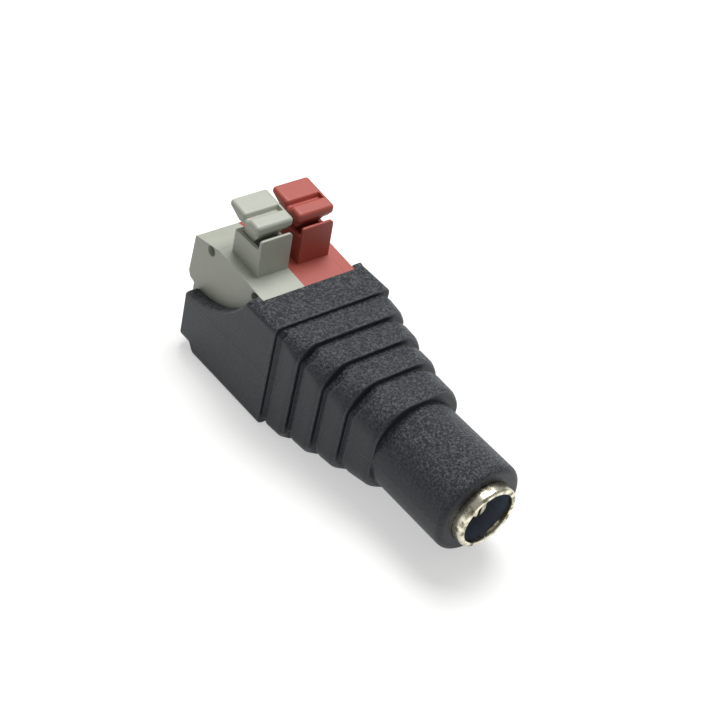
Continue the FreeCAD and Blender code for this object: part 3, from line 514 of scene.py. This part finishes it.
def boot_stations(shape):
    """The boot's stations, from the socket's hole round its mouth and back to the heel.

    Each row is y, half-width, top, bottom, corner radius, foot radius, rim height, rim
    rounding, the bay's half-width and the bay floor's height.
    """
    sine, cosine = quarter()
    rows = []

    def turned(back, radius):
        back, radius = np.broadcast_arrays(np.atleast_1d(back), np.atleast_1d(radius))
        sizes = np.stack([back, radius, radius, radius, radius, radius], axis=1)
        rows.append(flat_top(sizes, 0 * back))

    def flat_top(sizes, bay):
        top = sizes[:, 2]
        return np.column_stack([sizes, top, 0 * top, bay, top])

    def closed(back, sizes):
        top_points = TOP_POINT_SHARE * (sizes[:, 0] - sizes[:, 3])
        rows.append(flat_top(np.column_stack([back, sizes]), top_points))

    turned(
        [BOOT_FRONT + HOLE_DEPTH, BOOT_FRONT + HOLE_EDGE, BOOT_FRONT],
        SLEEVE_RADIUS + np.array([0, 0, HOLE_EDGE]),
    )
    turned(
        BOOT_FRONT + BARREL_ROUND * (1 - cosine),
        BARREL_RADIUS - BARREL_ROUND * (1 - sine),
    )
    turned(
        [BARREL_BACK - BARREL_FLARE_RUN, BARREL_BACK],
        BARREL_RADIUS + np.array([0, BARREL_FLARE]),
    )
    for number in range(LAST_COLLAR, -1, -1):
        back, loss = collar_rows(number, shape)
        closed(back, taper(back) - loss)
    block = np.array([HALF_WIDTH, HALF_HEIGHT, HALF_HEIGHT, BLOCK_CORNER, BLOCK_CORNER])
    wall = shape["depth"] * np.array([[1], [GROOVE_WALL_SHARE]])
    edge = np.repeat(BLOCK_EDGE * (1 - sine)[:, None], 5, axis=1)
    closed(
        np.concatenate(
            [
                [BLOCK_FRONT - GROOVE_FOOT_RUN, BLOCK_FRONT],
                BLOCK_FRONT + BLOCK_EDGE * (1 - cosine),
            ]
        ),
        block - np.concatenate([wall, edge]),
    )
    rows.append(flat_top(np.array([[MODULE_FRONT, *block]]), np.array([BAY_HALF])))
    rows.append(bay_rows(block))
    return np.concatenate(rows)


def bay_rows(block):
    """The stations of the open bay between the scooped side walls.

    The rim follows the scoop's circle, z = centre - sqrt(radius^2 - (y - centre)^2), no higher
    than the block, and turns down in a quarter circle at the walls' rear ends. Its rounding
    grows from the modules' front to the scoop. The bottom rises at the heel by
    rise * (3 t^2 - 2 t^3).
    """
    start = SCOOP_BACK - math.sqrt(SCOOP_RADIUS**2 - (SCOOP_UP - HALF_HEIGHT) ** 2)
    end_turn = RIGHT_ANGLE * WALL_END_STATIONS
    back = np.concatenate(
        [
            [MODULE_FRONT, MODULE_FRONT + BAY_STEP],
            np.linspace(MODULE_FRONT + BAY_LEAD, start, BAY_LEAD_STATIONS),
            np.linspace(start, BOOT_BACK - WALL_END_ROUND, SCOOP_STATIONS)[1:],
            BOOT_BACK - WALL_END_ROUND + WALL_END_ROUND * np.sin(end_turn),
        ]
    )
    circle = SCOOP_UP - np.sqrt(SCOOP_RADIUS**2 - (back - SCOOP_BACK) ** 2)
    past = np.clip(back - (BOOT_BACK - WALL_END_ROUND), 0, None)
    rim = np.minimum(circle, HALF_HEIGHT) - (
        WALL_END_ROUND - np.sqrt(WALL_END_ROUND**2 - past**2)
    )
    rise = np.clip((back - HEEL_FRONT) / HEEL_SLOPE, 0, 1)
    bottom = HALF_HEIGHT - HEEL_RISE * (3 * rise**2 - 2 * rise**3)
    softness = RIM_ROUND * np.clip((back - MODULE_FRONT) / (start - MODULE_FRONT), 0, 1)
    softness = np.minimum(softness, np.maximum(rim - RIM_CLEAR, RIM_ROUND_LEAST))
    full = np.ones_like(back)
    rows = np.column_stack(
        [
            back,
            HALF_WIDTH * full,
            HALF_HEIGHT * full,
            bottom,
            BLOCK_CORNER * full,
            BLOCK_CORNER * full,
            rim,
            softness,
            BAY_HALF * full,
            MODULE_FLOOR * full,
        ]
    )
    sine, cosine = quarter(3)
    # Round the back edge every size shrinks but the rim's rounding, and the bay widens
    tail = np.repeat(rows[-1:], len(sine), axis=0)
    inset = (BACK_EDGE * (1 - cosine))[:, None] * np.array([1, 1, 1, 1, 1, 1, 0, -1, 1])
    tail[:, 1:] -= inset
    tail[:, 0] = BOOT_BACK - BACK_EDGE + BACK_EDGE * sine
    keep = rows[:, 0] < BOOT_BACK - BACK_EDGE
    return np.concatenate([rows[keep], tail])


def boot_rings():
    """Sections of the boot, with the corner collars blended in by sin(pi t)^2 along each corner.

    Beside the block the corners take only a share of that.
    """
    flat, weight = section_rings(boot_stations(FLAT_COLLAR))
    corner, _ = section_rings(boot_stations(CORNER_COLLAR))
    near_block = flat[:, 0, 1] > BLOCK_FRONT - FIRST_GROOVE_REACH
    share = np.where(near_block, FIRST_GROOVE_SHARE, 1.0)
    return flat + (corner - flat) * weight[None, :, None] * share[:, None, None]


def side_point(wide, height, radius, up, sign):
    """The point of a section's side at a height above or below the parting line."""
    reach = np.clip(up - height + radius, 0, radius)
    return wide - radius + np.sqrt(radius**2 - reach**2), sign * up


def section_rings(rows):
    """Rings through the stations, from the bottom's right corner round and back, and weights.

    A corner is an arc about (half-width - radius, height - radius). Guard points beside it
    keep the flat sides' shading true. A ridge stands on the parting line, and the rim's two
    edges are quarter circles. Ahead of the bay, the points of the bay lie on the top face. The
    weights are sin(pi t)^2 along the corners and 0 elsewhere.
    """
    y, wide, top, low, corner, foot, rim, edge, bay, floor = (rows[:, k, None] for k in range(10))
    turn = np.linspace(0, 1, CORNER_STEPS + 1)
    low_start = np.arcsin(np.clip((ARC_CLEAR - (low - foot)) / foot, 0, 1))
    low_angle = -RIGHT_ANGLE + (RIGHT_ANGLE - low_start) * turn
    bottom = (wide - foot + foot * np.cos(low_angle), -(low - foot) + foot * np.sin(low_angle))
    near = np.where(PARTING_POINTS < 0, foot, corner)
    reach = np.abs(PARTING_POINTS) - np.where(PARTING_POINTS < 0, low, top) + near
    reach = np.clip(reach, 0, None)
    ridge = (
        wide - near + np.sqrt(near**2 - np.minimum(reach, near) ** 2)
        + PARTING_HEIGHT * np.array([[0, 0, 1, 0, 0]]),
        PARTING_POINTS + 0 * wide,
    )
    high_start = np.arcsin(np.clip((ARC_CLEAR - (top - corner)) / corner, 0, 1))
    high_end = np.arcsin(np.clip((rim - edge - (top - corner)) / corner, 0, 1))
    high_angle = high_start + (high_end - high_start) * turn
    hub = np.minimum(top - corner, rim - edge)
    shoulder = (wide - corner + corner * np.cos(high_angle), hub + corner * np.sin(high_angle))
    below = np.maximum(-bottom[1][:, -1:] - SIDE_GUARDS, GUARD_CLEAR)
    above = np.maximum(shoulder[1][:, :1] - SIDE_GUARDS[::-1], GUARD_CLEAR)
    guard_low = side_point(wide, low, foot, below, -1)
    guard_high = side_point(wide, top, corner, above, 1)
    small = RIGHT_ANGLE * np.linspace(0, 1, RIM_STEPS + 1)
    end_x = shoulder[0][:, -1:]
    outer_rim = (end_x - edge + edge * np.cos(small), rim - edge + edge * np.sin(small))
    inner_rim = (bay + edge - edge * np.sin(small), rim - edge + edge * np.cos(small))
    bed = (bay, floor)
    parts = (bottom, guard_low, ridge, guard_high, shoulder, outer_rim, inner_rim, bed)
    half = [np.concatenate([part[axis] for part in parts], axis=1) for axis in range(2)]
    x = np.concatenate([half[0], -half[0][:, ::-1]], axis=1)
    z = np.concatenate([half[1], half[1][:, ::-1]], axis=1)
    bulge = np.sin(math.pi * turn) ** 2
    side = np.zeros(PARTING_POINTS.size + 2 * SIDE_GUARDS.size)
    flat_end = np.zeros(half[0].shape[1] - 2 * len(turn) - side.size)
    weight = np.concatenate([bulge, side, bulge, flat_end])
    rings = np.stack([x, np.broadcast_to(y, x.shape), z], axis=-1)
    return rings, np.concatenate([weight, weight[::-1]])


def make_boot():
    """The moulded boot."""
    boot = skin("boot_moulding", boot_rings())
    return smooth(boot, sharp_degrees=32)


# The socket


def make_ring():
    """The plated sleeve with its broad rolled lip."""
    bore = SLEEVE_RADIUS - SLEEVE_WALL
    profile = np.concatenate(
        [
            [[SLEEVE_BACK, bore], [LIP_BACK, bore], [LIP_BACK, LIP_RADIUS]],
            arc((LIP_INNER_ROUND, LIP_RADIUS + LIP_INNER_ROUND), LIP_INNER_ROUND, 270, 180, 5),
            arc((LIP_ROUND, SLEEVE_RADIUS - LIP_ROUND), LIP_ROUND, 180, 90, 9),
            [[SLEEVE_BACK, SLEEVE_RADIUS]],
        ]
    )
    rings = turned_rings(np.concatenate([profile, profile[:1]]), 128)
    ring = skin("socket_ring", rings, close_ends=False)
    return smooth(ring, sharp_degrees=40)


def make_pin():
    """The split pin: a turned rod with a domed tip, sawn down its middle."""
    radius = PIN_RADIUS
    profile = np.concatenate(
        [
            [[PIN_TIP, 0.0]],
            arc((PIN_TIP + PIN_DOME, radius - PIN_DOME), PIN_DOME, 180, 90, 8),
            [[PIN_BACK, radius], [PIN_BACK, 0.0]],
        ]
    )
    pin = skin("split_pin", turned_rings(profile, 64), close_ends=False)
    saw = prism_along_z(
        "saw",
        box_corners(
            -PIN_SLOT / 2, PIN_TIP - SAW_AHEAD, PIN_SLOT / 2, PIN_TIP + PIN_SLOT_LENGTH
        ),
        np.full(4, SAW_CORNER), -radius - SAW_PAST, radius + SAW_PAST, CUTTER_EDGE,
    )
    cut(pin, saw)
    return smooth(pin, sharp_degrees=40)


# The levers


def lever_rings(low, high):
    """Rings of a lever's finger pad from its left side to its right.

    The side view is a blunt wedge. A groove runs across it from the left and ends at a rim on
    the right: past that place the groove's corners rise to the top face in a steep ramp. The
    underside rises towards both sides, so no point is lower than belly + taper - distance from
    the nearer side.
    """
    back, front = high[1], low[1]
    slope = PAD_FALL / (back - front)

    def top_at(y):
        return PAD_TOP - slope * (back - y)

    floor = top_at(GROOVE_BACK) - GROOVE_DROP
    corners = np.array(
        [
            [back, PAD_TOP],
            [GROOVE_BACK, top_at(GROOVE_BACK)],
            [GROOVE_WALL_FOOT, floor],
            [GROOVE_FLOOR_END, floor],
            [GROOVE_FRONT, top_at(GROOVE_FRONT)],
            [front, top_at(front)],
            [front, top_at(front) - PAD_FRONT_DEPTH],
            [PAD_BELLY_FRONT, PAD_BELLY],
            [PAD_BELLY_BACK, PAD_BELLY],
            [back, PAD_TOP - PAD_BACK_DEPTH],
        ]
    )
    flat = corners.copy()
    for point in (2, 3):
        flat[point, 1] = top_at(flat[point, 0])
    left, right = low[0], high[0]
    sine, cosine = quarter(6)
    inset = PAD_ROUND * (1 - sine)
    step = PAD_ROUND * (1 - cosine)
    rim = right - PAD_RIM
    middle = np.array([left + PAD_TAPER, right - PAD_TAPER, rim, rim + PAD_RAMP])
    places = np.concatenate([left + step, middle, right - step[::-1]])
    insets = np.concatenate([inset, np.zeros(len(middle)), inset[::-1]])
    grooved = (places <= middle[2])[:, None, None]
    shapes = np.where(grooved, corners, flat)
    signs = corner_signs(corners)
    soft = np.maximum(PAD_RADII - insets[:, None] * signs[None], PAD_LEAST_RADIUS)
    rings = rounded_outline(inset_corners(shapes, insets), soft)
    from_side = np.minimum(places - left, right - places)
    lowest = PAD_BELLY + np.clip(PAD_TAPER - from_side, 0, None)
    rings[..., 1] = np.maximum(rings[..., 1], lowest[:, None])
    return rings, places


def make_lever(colour, low, high, left):
    """A push lever: its finger pad and its stem."""
    rings, places = lever_rings(low, high)
    across = np.broadcast_to(places[:, None, None], rings.shape[:2] + (1,))
    lever = skin(f"{colour}_push_lever", np.concatenate([across, rings], axis=2))
    centre = left + CHIMNEY_OFFSET
    stem_half = CHIMNEY_HALF - CHIMNEY_SIDE - STEM_PLAY
    stem_back = CHIMNEY_BACK - CHIMNEY_WALL - STEM_PLAY
    stem_front = stem_back - STEM_DEPTH
    stem = prism_along_x(
        "stem",
        np.array(
            [
                [stem_back, low[2]],
                [stem_back, PAD_BELLY + STEM_OVERLAP],
                [PAD_BELLY_FRONT, PAD_BELLY + STEM_OVERLAP],
                [PAD_BELLY_FRONT, PAD_BELLY],
                [stem_front, NECK_FOOT],
                [stem_front, low[2]],
            ]
        ),
        STEM_RADII,
        centre - stem_half,
        centre + stem_half,
        STEM_EDGE,
    )
    join(lever, stem)
    return smooth(lever, sharp_degrees=40)


# The terminal modules


def turned_tool(name, place, axis, profile, sides):
    """A cutting tool: a profile of (distance, radius) turned about x or y through a place."""
    profile = np.asarray(profile, float)
    angle = np.linspace(0, 2 * math.pi, sides, endpoint=False)
    one = profile[:, 1, None] * np.cos(angle)
    two = profile[:, 1, None] * np.sin(angle)
    along = np.broadcast_to(profile[:, 0, None], one.shape)
    order = {"x": (along, one, two), "y": (one, along, two)}[axis]
    rings = np.stack(order, axis=-1) + np.asarray(place, float)
    return skin(name, rings)


def make_apron(centre):
    """The wall ahead of the lever, whose outer face leans back towards its thin top.

    A prism along the socket's axis is sheared: a point moves back by lean times its share of
    the height times its share of the way from the inner face to the outer one.
    """
    left, right = centre - CHIMNEY_HALF, centre + CHIMNEY_HALF
    corners = np.array(
        [[left, SHAFT_FOOT], [right, SHAFT_FOOT], [right, APRON_TOP], [left, APRON_TOP]]
    )
    inner_face = CHIMNEY_FRONT + CHIMNEY_WALL
    rings, places = prism_rings(corners, APRON_RADII, CHIMNEY_FRONT, inner_face, APRON_EDGE)
    height = (rings[..., 1] - SHAFT_FOOT) / (APRON_TOP - SHAFT_FOOT)
    out = (inner_face - places)[:, None] / CHIMNEY_WALL
    along = places[:, None] + APRON_LEAN * height * out
    return skin("apron", np.stack([rings[..., 0], along, rings[..., 1]], axis=-1))


def make_module(colour, left):
    """A terminal module: the moulding, its chimney, the wire's entry and the pegs' sockets."""
    module = prism_along_x(
        f"{colour}_module", MODULE_CORNERS, MODULE_RADII, left, left + POLE_PITCH, MODULE_EDGE
    )
    centre = left + CHIMNEY_OFFSET
    chimney = prism_along_z(
        "chimney",
        box_corners(
            centre - CHIMNEY_HALF, CHIMNEY_FRONT + APRON_LEAN, centre + CHIMNEY_HALF, CHIMNEY_BACK
        ),
        np.full(4, CHIMNEY_CORNER),
        SHAFT_FOOT - CHIMNEY_ROOT,
        CHIMNEY_TOP,
        CHIMNEY_EDGE,
    )
    join(module, chimney, make_apron(centre))
    shaft = prism_along_z(
        "shaft",
        box_corners(
            centre - CHIMNEY_HALF + CHIMNEY_SIDE, CHIMNEY_FRONT + CHIMNEY_WALL,
            centre + CHIMNEY_HALF - CHIMNEY_SIDE, CHIMNEY_BACK - CHIMNEY_WALL,
        ),
        np.full(4, SHAFT_CORNER),
        SHAFT_FOOT,
        APRON_TOP + SHAFT_PAST,
        CUTTER_EDGE,
    )
    entry = turned_tool(
        "entry", (left + ENTRY_ACROSS, MODULE_BACK, ENTRY_UP), "y", ENTRY_PROFILE, ENTRY_SIDES
    )
    tools = [shaft, entry]
    for number, (back, up, radius) in enumerate(PEG_SOCKETS, start=1):
        mouth = radius + PEG_SOCKET_EDGE
        profile = [
            (-PEG_SOCKET_AHEAD, mouth), (0.0, mouth),
            (PEG_SOCKET_EDGE_DEPTH, radius), (PEG_SOCKET_DEPTH, radius),
        ]
        tools.append(
            turned_tool(f"socket_{number}", (left, back, up), "x", profile, PEG_SOCKET_SIDES)
        )
    cut(module, *tools)
    return smooth(module)


def make_end_plate():
    """The plate on the red module's open side."""
    plate = prism_along_x(
        "end_plate", MODULE_CORNERS, MODULE_RADII, PLATE_LOW[0], PLATE_HIGH[0], MODULE_EDGE
    )
    return smooth(plate)


# Finishes

# The bend of a face, in 1/mm, from which its edge gets a painted highlight
HIGHLIGHT_BEND = 1.5


def linear(code):
    """A colour for Blender from an sRGB hex code."""
    values = [int(code[k : k + 2], 16) / 255 for k in (1, 3, 5)]
    curve = [v / 12.92 if v <= 0.04045 else ((v + 0.055) / 1.055) ** 2.4 for v in values]
    return (*curve, 1.0)


def add_node(tree, kind, settings=None):
    """Adds a node, sets its properties and inputs, and links those given another's output."""
    node = tree.nodes.new(kind)
    for key, value in (settings or {}).items():
        if isinstance(value, bpy.types.NodeSocket):
            tree.links.new(value, node.inputs[key])
        elif isinstance(key, str) and hasattr(node, key):
            setattr(node, key, value)
        else:
            node.inputs[key].default_value = value
    return node


def new_material(name):
    """An empty material, its nodes, its output node and the place on the object."""
    material = bpy.data.materials.new(name)
    material.use_nodes = True
    material.node_tree.nodes.clear()
    output = material.node_tree.nodes.new("ShaderNodeOutputMaterial")
    place = material.node_tree.nodes.new("ShaderNodeTexCoord")
    return material, material.node_tree, output, place.outputs["Object"]


def noise(tree, place, apart, detail, **others):
    """Noise whose features are this many millimetres apart."""
    settings = {"Vector": place, "Scale": 1 / (apart * MM), "Detail": detail, **others}
    return add_node(tree, "ShaderNodeTexNoise", settings).outputs["Fac"]


def remap(tree, value, low=0.0, high=1.0, to_low=0.0, to_high=1.0):
    """A value with the range from low to high stretched to another, and held within it."""
    settings = {
        "Value": value, "From Min": low, "From Max": high, "To Min": to_low, "To Max": to_high,
    }
    return add_node(tree, "ShaderNodeMapRange", settings).outputs["Result"]


def product(tree, first, second):
    """The product of two values."""
    settings = {"operation": "MULTIPLY", 0: first, 1: second}
    return add_node(tree, "ShaderNodeMath", settings).outputs[0]


def bumped(tree, height, depth, strength):
    """The normal that heights from 0 to 1 give, over a depth in millimetres."""
    settings = {"Height": height, "Distance": depth * MM, "Strength": strength}
    return add_node(tree, "ShaderNodeBump", settings).outputs["Normal"]


def mixed(tree, factor, first, second):
    """A colour between two, each a hex code or a node's output."""
    one, two = (linear(c) if isinstance(c, str) else c for c in (first, second))
    settings = {"data_type": "RGBA", "Factor": factor, "A": one, "B": two}
    return add_node(tree, "ShaderNodeMix", settings).outputs["Result"]


def close_material(tree, output, settings):
    """Ends a material with one surface shader."""
    shader = add_node(tree, "ShaderNodeBsdfPrincipled", settings)
    tree.links.new(shader.outputs["BSDF"], output.inputs["Surface"])


def edge_highlight_mask(tree, place, full_highlight_bend):
    """0 on faces and in hollows, up to 1 along tight raised edges, broken into patches.

    The mask is for a painted highlight: it starts at the bend set above this function and is full
    at the one given, both in 1/mm.
    """
    bend = add_node(tree, "ShaderNodeAttribute", {"attribute_name": "edge_bend"})
    edge = remap(tree, bend.outputs["Fac"], HIGHLIGHT_BEND, full_highlight_bend)
    return product(tree, edge, noise(tree, place, apart=0.6, detail=3.0))


def moulded_plastic(name, light, dark, highlight_colour, roughness, grain_depth):
    """Polyamide from a polished mould: even colour, faint flow marks and painted highlights on
    raised edges.

    The eye sees a soft satin sheen, slow changes of tone across each face, a very fine ripple
    in the gloss, and raised edges painted a little lighter as a painted highlight.
    """
    material, tree, output, place = new_material(name)
    flow = noise(tree, place, apart=1.8, detail=4.0, Distortion=0.6)
    # Painted highlight: tight raised edges are coloured lighter
    edge_highlight = edge_highlight_mask(tree, place, full_highlight_bend=6.0)
    grain = noise(tree, place, apart=0.12, detail=2.0)
    close_material(
        tree,
        output,
        {
            "Base Color": mixed(tree, edge_highlight, mixed(tree, flow, light, dark), highlight_colour),
            "Roughness": remap(tree, flow, to_low=roughness + 0.07, to_high=roughness - 0.07),
            "Normal": bumped(tree, grain, grain_depth, strength=1.0),
            "IOR": 1.53,
        },
    )
    return material


def boot_plastic():
    """Flexible PVC moulded in a spark-eroded tool: charcoal, with a coarse crystalline grain.

    The eye sees grey speckles of the grain, painted lighter only on faces turned up to the light
    as painted glints, a smoother bluish black on the sides, and thin lighter lines along the
    collars' edges, which are painted highlights. The grain is drawn about twice as coarse as the
    real one, so that it shows.
    """
    material, tree, output, place = new_material("boot_grain_and_painted_glints")
    facing = add_node(tree, "ShaderNodeTexCoord")
    split = add_node(tree, "ShaderNodeSeparateXYZ", {"Vector": facing.outputs["Normal"]})
    upward = remap(tree, split.outputs["Z"], low=0.2, high=0.9, to_low=0.15, to_high=1.0)
    crystals = noise(tree, place, apart=0.24, detail=3.0, Roughness=0.7)
    # Painted glints: the grain's speckles are coloured lighter only on faces that point up,
    # towards the lamp
    grain_and_painted_glints = product(tree, remap(tree, crystals, low=0.44, high=0.8), upward)
    mottle = noise(tree, place, apart=1.4, detail=3.0)
    base_and_painted_glints = mixed(tree, grain_and_painted_glints, mixed(tree, mottle, "#22272F", "#292D34"), "#797C7D")
    # Painted highlight: tight raised edges are coloured a lighter grey
    edge_highlight = edge_highlight_mask(tree, place, full_highlight_bend=5.0)
    grain = noise(tree, place, apart=0.27, detail=3.0, Roughness=0.7)
    close_material(
        tree,
        output,
        {
            "Base Color": mixed(tree, edge_highlight, base_and_painted_glints, "#606366"),
            "Roughness": 0.42,
            "Normal": bumped(tree, grain, depth=0.26, strength=upward),
            "IOR": 1.5,
            "Specular IOR Level": 0.34,
        },
    )
    return material


def nickel_plate(name, bright, dull, roughness):
    """Nickel electroplated on turned brass: creamy metal with duller, darker patches, partly
    tarnish and partly a painted reflection of the dark boot beside it.

    The eye sees sharp reflections that break up where the plate is dull and faintly rippled.
    """
    material, tree, output, place = new_material(name)
    patches = noise(tree, place, apart=0.8, detail=4.0)
    # Darker patches: partly tarnish, partly a painted reflection of the dark boot
    tarnish_and_painted_reflection = remap(tree, patches, low=0.46, high=0.62)
    close_material(
        tree,
        output,
        {
            "Base Color": mixed(tree, tarnish_and_painted_reflection, bright, dull),
            "Metallic": 1.0,
            "Roughness": remap(tree, tarnish_and_painted_reflection, to_low=roughness, to_high=roughness + 0.2),
            "Normal": bumped(tree, patches, depth=0.015, strength=0.6),
        },
    )
    return material


def small_part_finish(name, light, dark, metallic, roughness):
    """A finish for the small pieces inside: two near tones in blotches, and a fine ripple."""
    material, tree, output, place = new_material(name)
    blotch = noise(tree, place, apart=0.8, detail=3.0)
    close_material(
        tree,
        output,
        {
            "Base Color": mixed(tree, blotch, light, dark),
            "Metallic": metallic,
            "Roughness": remap(tree, blotch, to_low=roughness - 0.08, to_high=roughness + 0.08),
            "Normal": bumped(tree, blotch, depth=0.01, strength=0.5),
        },
    )
    return material


def dress(piece, material):
    """Gives the piece one material."""
    piece.data.materials.clear()
    piece.data.materials.append(material)


boot_finish = boot_plastic()
# The fourth colour of each plastic is the painted highlight on its raised edges
grey_finish = moulded_plastic("grey_polyamide", "#B6BAAC", "#A8ABA0", "#C1C5B9", 0.45, 0.005)
red_finish = moulded_plastic("red_polyamide", "#B15143", "#A24438", "#BE6053", 0.5, 0.005)
# The ring's dark brown is partly tarnish, partly a painted reflection of the dark boot
nickel = nickel_plate("nickel_plated_brass", "#F4EED8", "#857E6A", 0.22)
pin_nickel = nickel_plate("nickel_plated_pin", "#F0ECDA", "#B7B09C", 0.3)
# Glass-filled nylon, moulded: dark slate with a dull face, coloured much lighter than that as
# painted light standing in for light that reaches into the socket's mouth
insulator = small_part_finish("moulded_insulator", "#7D8698", "#6B7485", 0.0, 0.45)
inner_finishes = {
    "sleeve_leaf": pin_nickel,
    "jack_core": insulator,
    # Stainless spring strip, rolled and polished: cool and bright
    "grey_spring": small_part_finish("rolled_spring_strip", "#B2B4B6", "#9A9C9F", 1.0, 0.28),
    # Tin-plated brass strip, dipped: whitish and a little dull
    "grey_contact_bar": small_part_finish("tinned_strip", "#C8C8C4", "#B0B0AB", 1.0, 0.38),
    # Bare stranded copper, drawn: warm, browner where it has dulled
    "positive_conductor": small_part_finish("drawn_copper", "#C07C56", "#A06343", 1.0, 0.35),
    # Extruded PVC covers: smooth, with slow changes of tone
    "positive_insulation": small_part_finish("red_wire_cover", "#AE3530", "#9A2C29", 0.0, 0.42),
    "negative_insulation": small_part_finish("black_wire_cover", "#1F1F21", "#161618", 0.0, 0.42),
    # Solder, melted and set: rounded, bright with frosty patches
    "pin_solder": small_part_finish("set_solder", "#C0C0BC", "#9E9E99", 1.0, 0.35),
}
same_finish = {
    "red_spring": "grey_spring",
    "red_contact_bar": "grey_contact_bar",
    "negative_conductor": "positive_conductor",
    "leaf_solder": "pin_solder",
    "red_solder": "pin_solder",
    "grey_solder": "pin_solder",
}
for node, finish in inner_finishes.items():
    dress(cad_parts[node], finish)
for node, like in same_finish.items():
    dress(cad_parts[node], inner_finishes[like])

boot = make_boot()
dress(boot, boot_finish)
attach(boot, "body")
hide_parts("boot")

ring = make_ring()
dress(ring, nickel)
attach(ring, "body")
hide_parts("jack_sleeve")

pin = make_pin()
dress(pin, pin_nickel)
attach(pin, "body")
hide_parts("centre_pin")

for colour, finish, low, high, left in (
    ("grey", grey_finish, GREY_PAD_LOW, GREY_PAD_HIGH, GREY_LOW[0]),
    ("red", red_finish, RED_PAD_LOW, RED_PAD_HIGH, RED_LOW[0]),
):
    module = make_module(colour, left)
    dress(module, finish)
    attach(module, "body")
    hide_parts(f"{colour}_housing")
    lever = make_lever(colour, low, high, left)
    dress(lever, finish)
    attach(lever, f"{colour}_lever")
    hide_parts(f"{colour}_lever")

plate = make_end_plate()
dress(plate, red_finish)
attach(plate, "body")
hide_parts("red_end_plate")

# Floor, light and camera

FLOOR_HALF = 600.0
# What the floor adds towards white where the camera or a shiny surface sees it
FLOOR_LIFT = 0.5
LAMP_PLACE = (70, 85, 240)
LAMP_WIDE = 150
LAMP_POWER = 0.66
SKY_STRENGTH = 0.3


def make_floor():
    """A pale floor that shows as white to the camera and keeps the object's shadow."""
    corners = box_corners(-FLOOR_HALF, -FLOOR_HALF, FLOOR_HALF, FLOOR_HALF) * MM
    mesh = bpy.data.meshes.new("floor")
    mesh.from_pydata([(x, y, -HALF_HEIGHT * MM) for x, y in corners], [], [(0, 1, 2, 3)])
    floor = bpy.data.objects.new("floor", mesh)
    bpy.context.collection.objects.link(floor)
    material, tree, output, _ = new_material("pale_floor")
    matt = add_node(tree, "ShaderNodeBsdfDiffuse", {"Color": linear("#CFCFCD")})
    path = add_node(tree, "ShaderNodeLightPath")
    camera_ray, glossy_ray = path.outputs["Is Camera Ray"], path.outputs["Is Glossy Ray"]
    seen = add_node(
        tree, "ShaderNodeMath", {"operation": "MAXIMUM", 0: camera_ray, 1: glossy_ray}
    )
    lift = product(tree, seen.outputs[0], FLOOR_LIFT)
    glow = add_node(tree, "ShaderNodeEmission", {"Color": (1, 1, 1, 1), "Strength": lift})
    both = add_node(
        tree, "ShaderNodeAddShader", {0: matt.outputs["BSDF"], 1: glow.outputs["Emission"]}
    )
    tree.links.new(both.outputs["Shader"], output.inputs["Surface"])
    dress(floor, material)


def area_lamp(name, place, target, wide, power):
    """A soft square lamp at a place, turned to a target, both in millimetres."""
    lamp = bpy.data.lights.new(name, "AREA")
    lamp.shape = "SQUARE"
    lamp.size = wide * MM
    lamp.energy = power
    piece = bpy.data.objects.new(name, lamp)
    bpy.context.collection.objects.link(piece)
    piece.location = Vector(place) * MM
    aim = Vector(target) * MM - piece.location
    piece.rotation_euler = aim.to_track_quat("-Z", "Y").to_euler()


make_floor()
centre = ((BOOT_LOW + BOOT_HIGH) / 2).tolist()
area_lamp("top_light", LAMP_PLACE, centre, LAMP_WIDE, LAMP_POWER)

world = bpy.data.worlds.new("studio")
bpy.context.scene.world = world
world.use_nodes = True
world.node_tree.nodes.clear()
sky = add_node(
    world.node_tree, "ShaderNodeBackground", {"Color": (1, 1, 1, 1), "Strength": SKY_STRENGTH}
)
out = world.node_tree.nodes.new("ShaderNodeOutputWorld")
world.node_tree.links.new(sky.outputs["Background"], out.inputs["Surface"])

# The camera looks past the boot's middle, from the socket's left and above
CAMERA_AIM = (-0.0577, 20.5145, 3.3739)
CAMERA_DISTANCE = 153.234
CAMERA_AZIMUTH = 47.4333
CAMERA_ELEVATION = 39.7552
CAMERA_ROLL = 13.7349
SENSOR_WIDTH = 36.0
FOCAL_LENGTH = 82.278


def make_camera():
    """The camera, from its aim, distance, azimuth, elevation and roll."""
    azimuth, elevation, roll = (
        math.radians(v) for v in (CAMERA_AZIMUTH, CAMERA_ELEVATION, CAMERA_ROLL)
    )
    forward = Vector(
        (
            math.sin(azimuth) * math.cos(elevation),
            math.cos(azimuth) * math.cos(elevation),
            -math.sin(elevation),
        )
    )
    level = forward.cross(Vector((0, 0, 1))).normalized()
    upright = level.cross(forward)
    right = level * math.cos(roll) + upright * math.sin(roll)
    up = upright * math.cos(roll) - level * math.sin(roll)
    data = bpy.data.cameras.new("camera")
    data.sensor_width = SENSOR_WIDTH
    data.lens = FOCAL_LENGTH
    data.clip_start, data.clip_end = 0.01, 10.0
    camera = bpy.data.objects.new("camera", data)
    bpy.context.collection.objects.link(camera)
    place = (Vector(CAMERA_AIM) - forward * CAMERA_DISTANCE) * MM
    turn = Matrix((right, up, -forward)).transposed().to_4x4()
    camera.matrix_world = Matrix.Translation(place) @ turn
    bpy.context.scene.camera = camera


make_camera()
bpy.context.scene.view_settings.view_transform = "Standard"
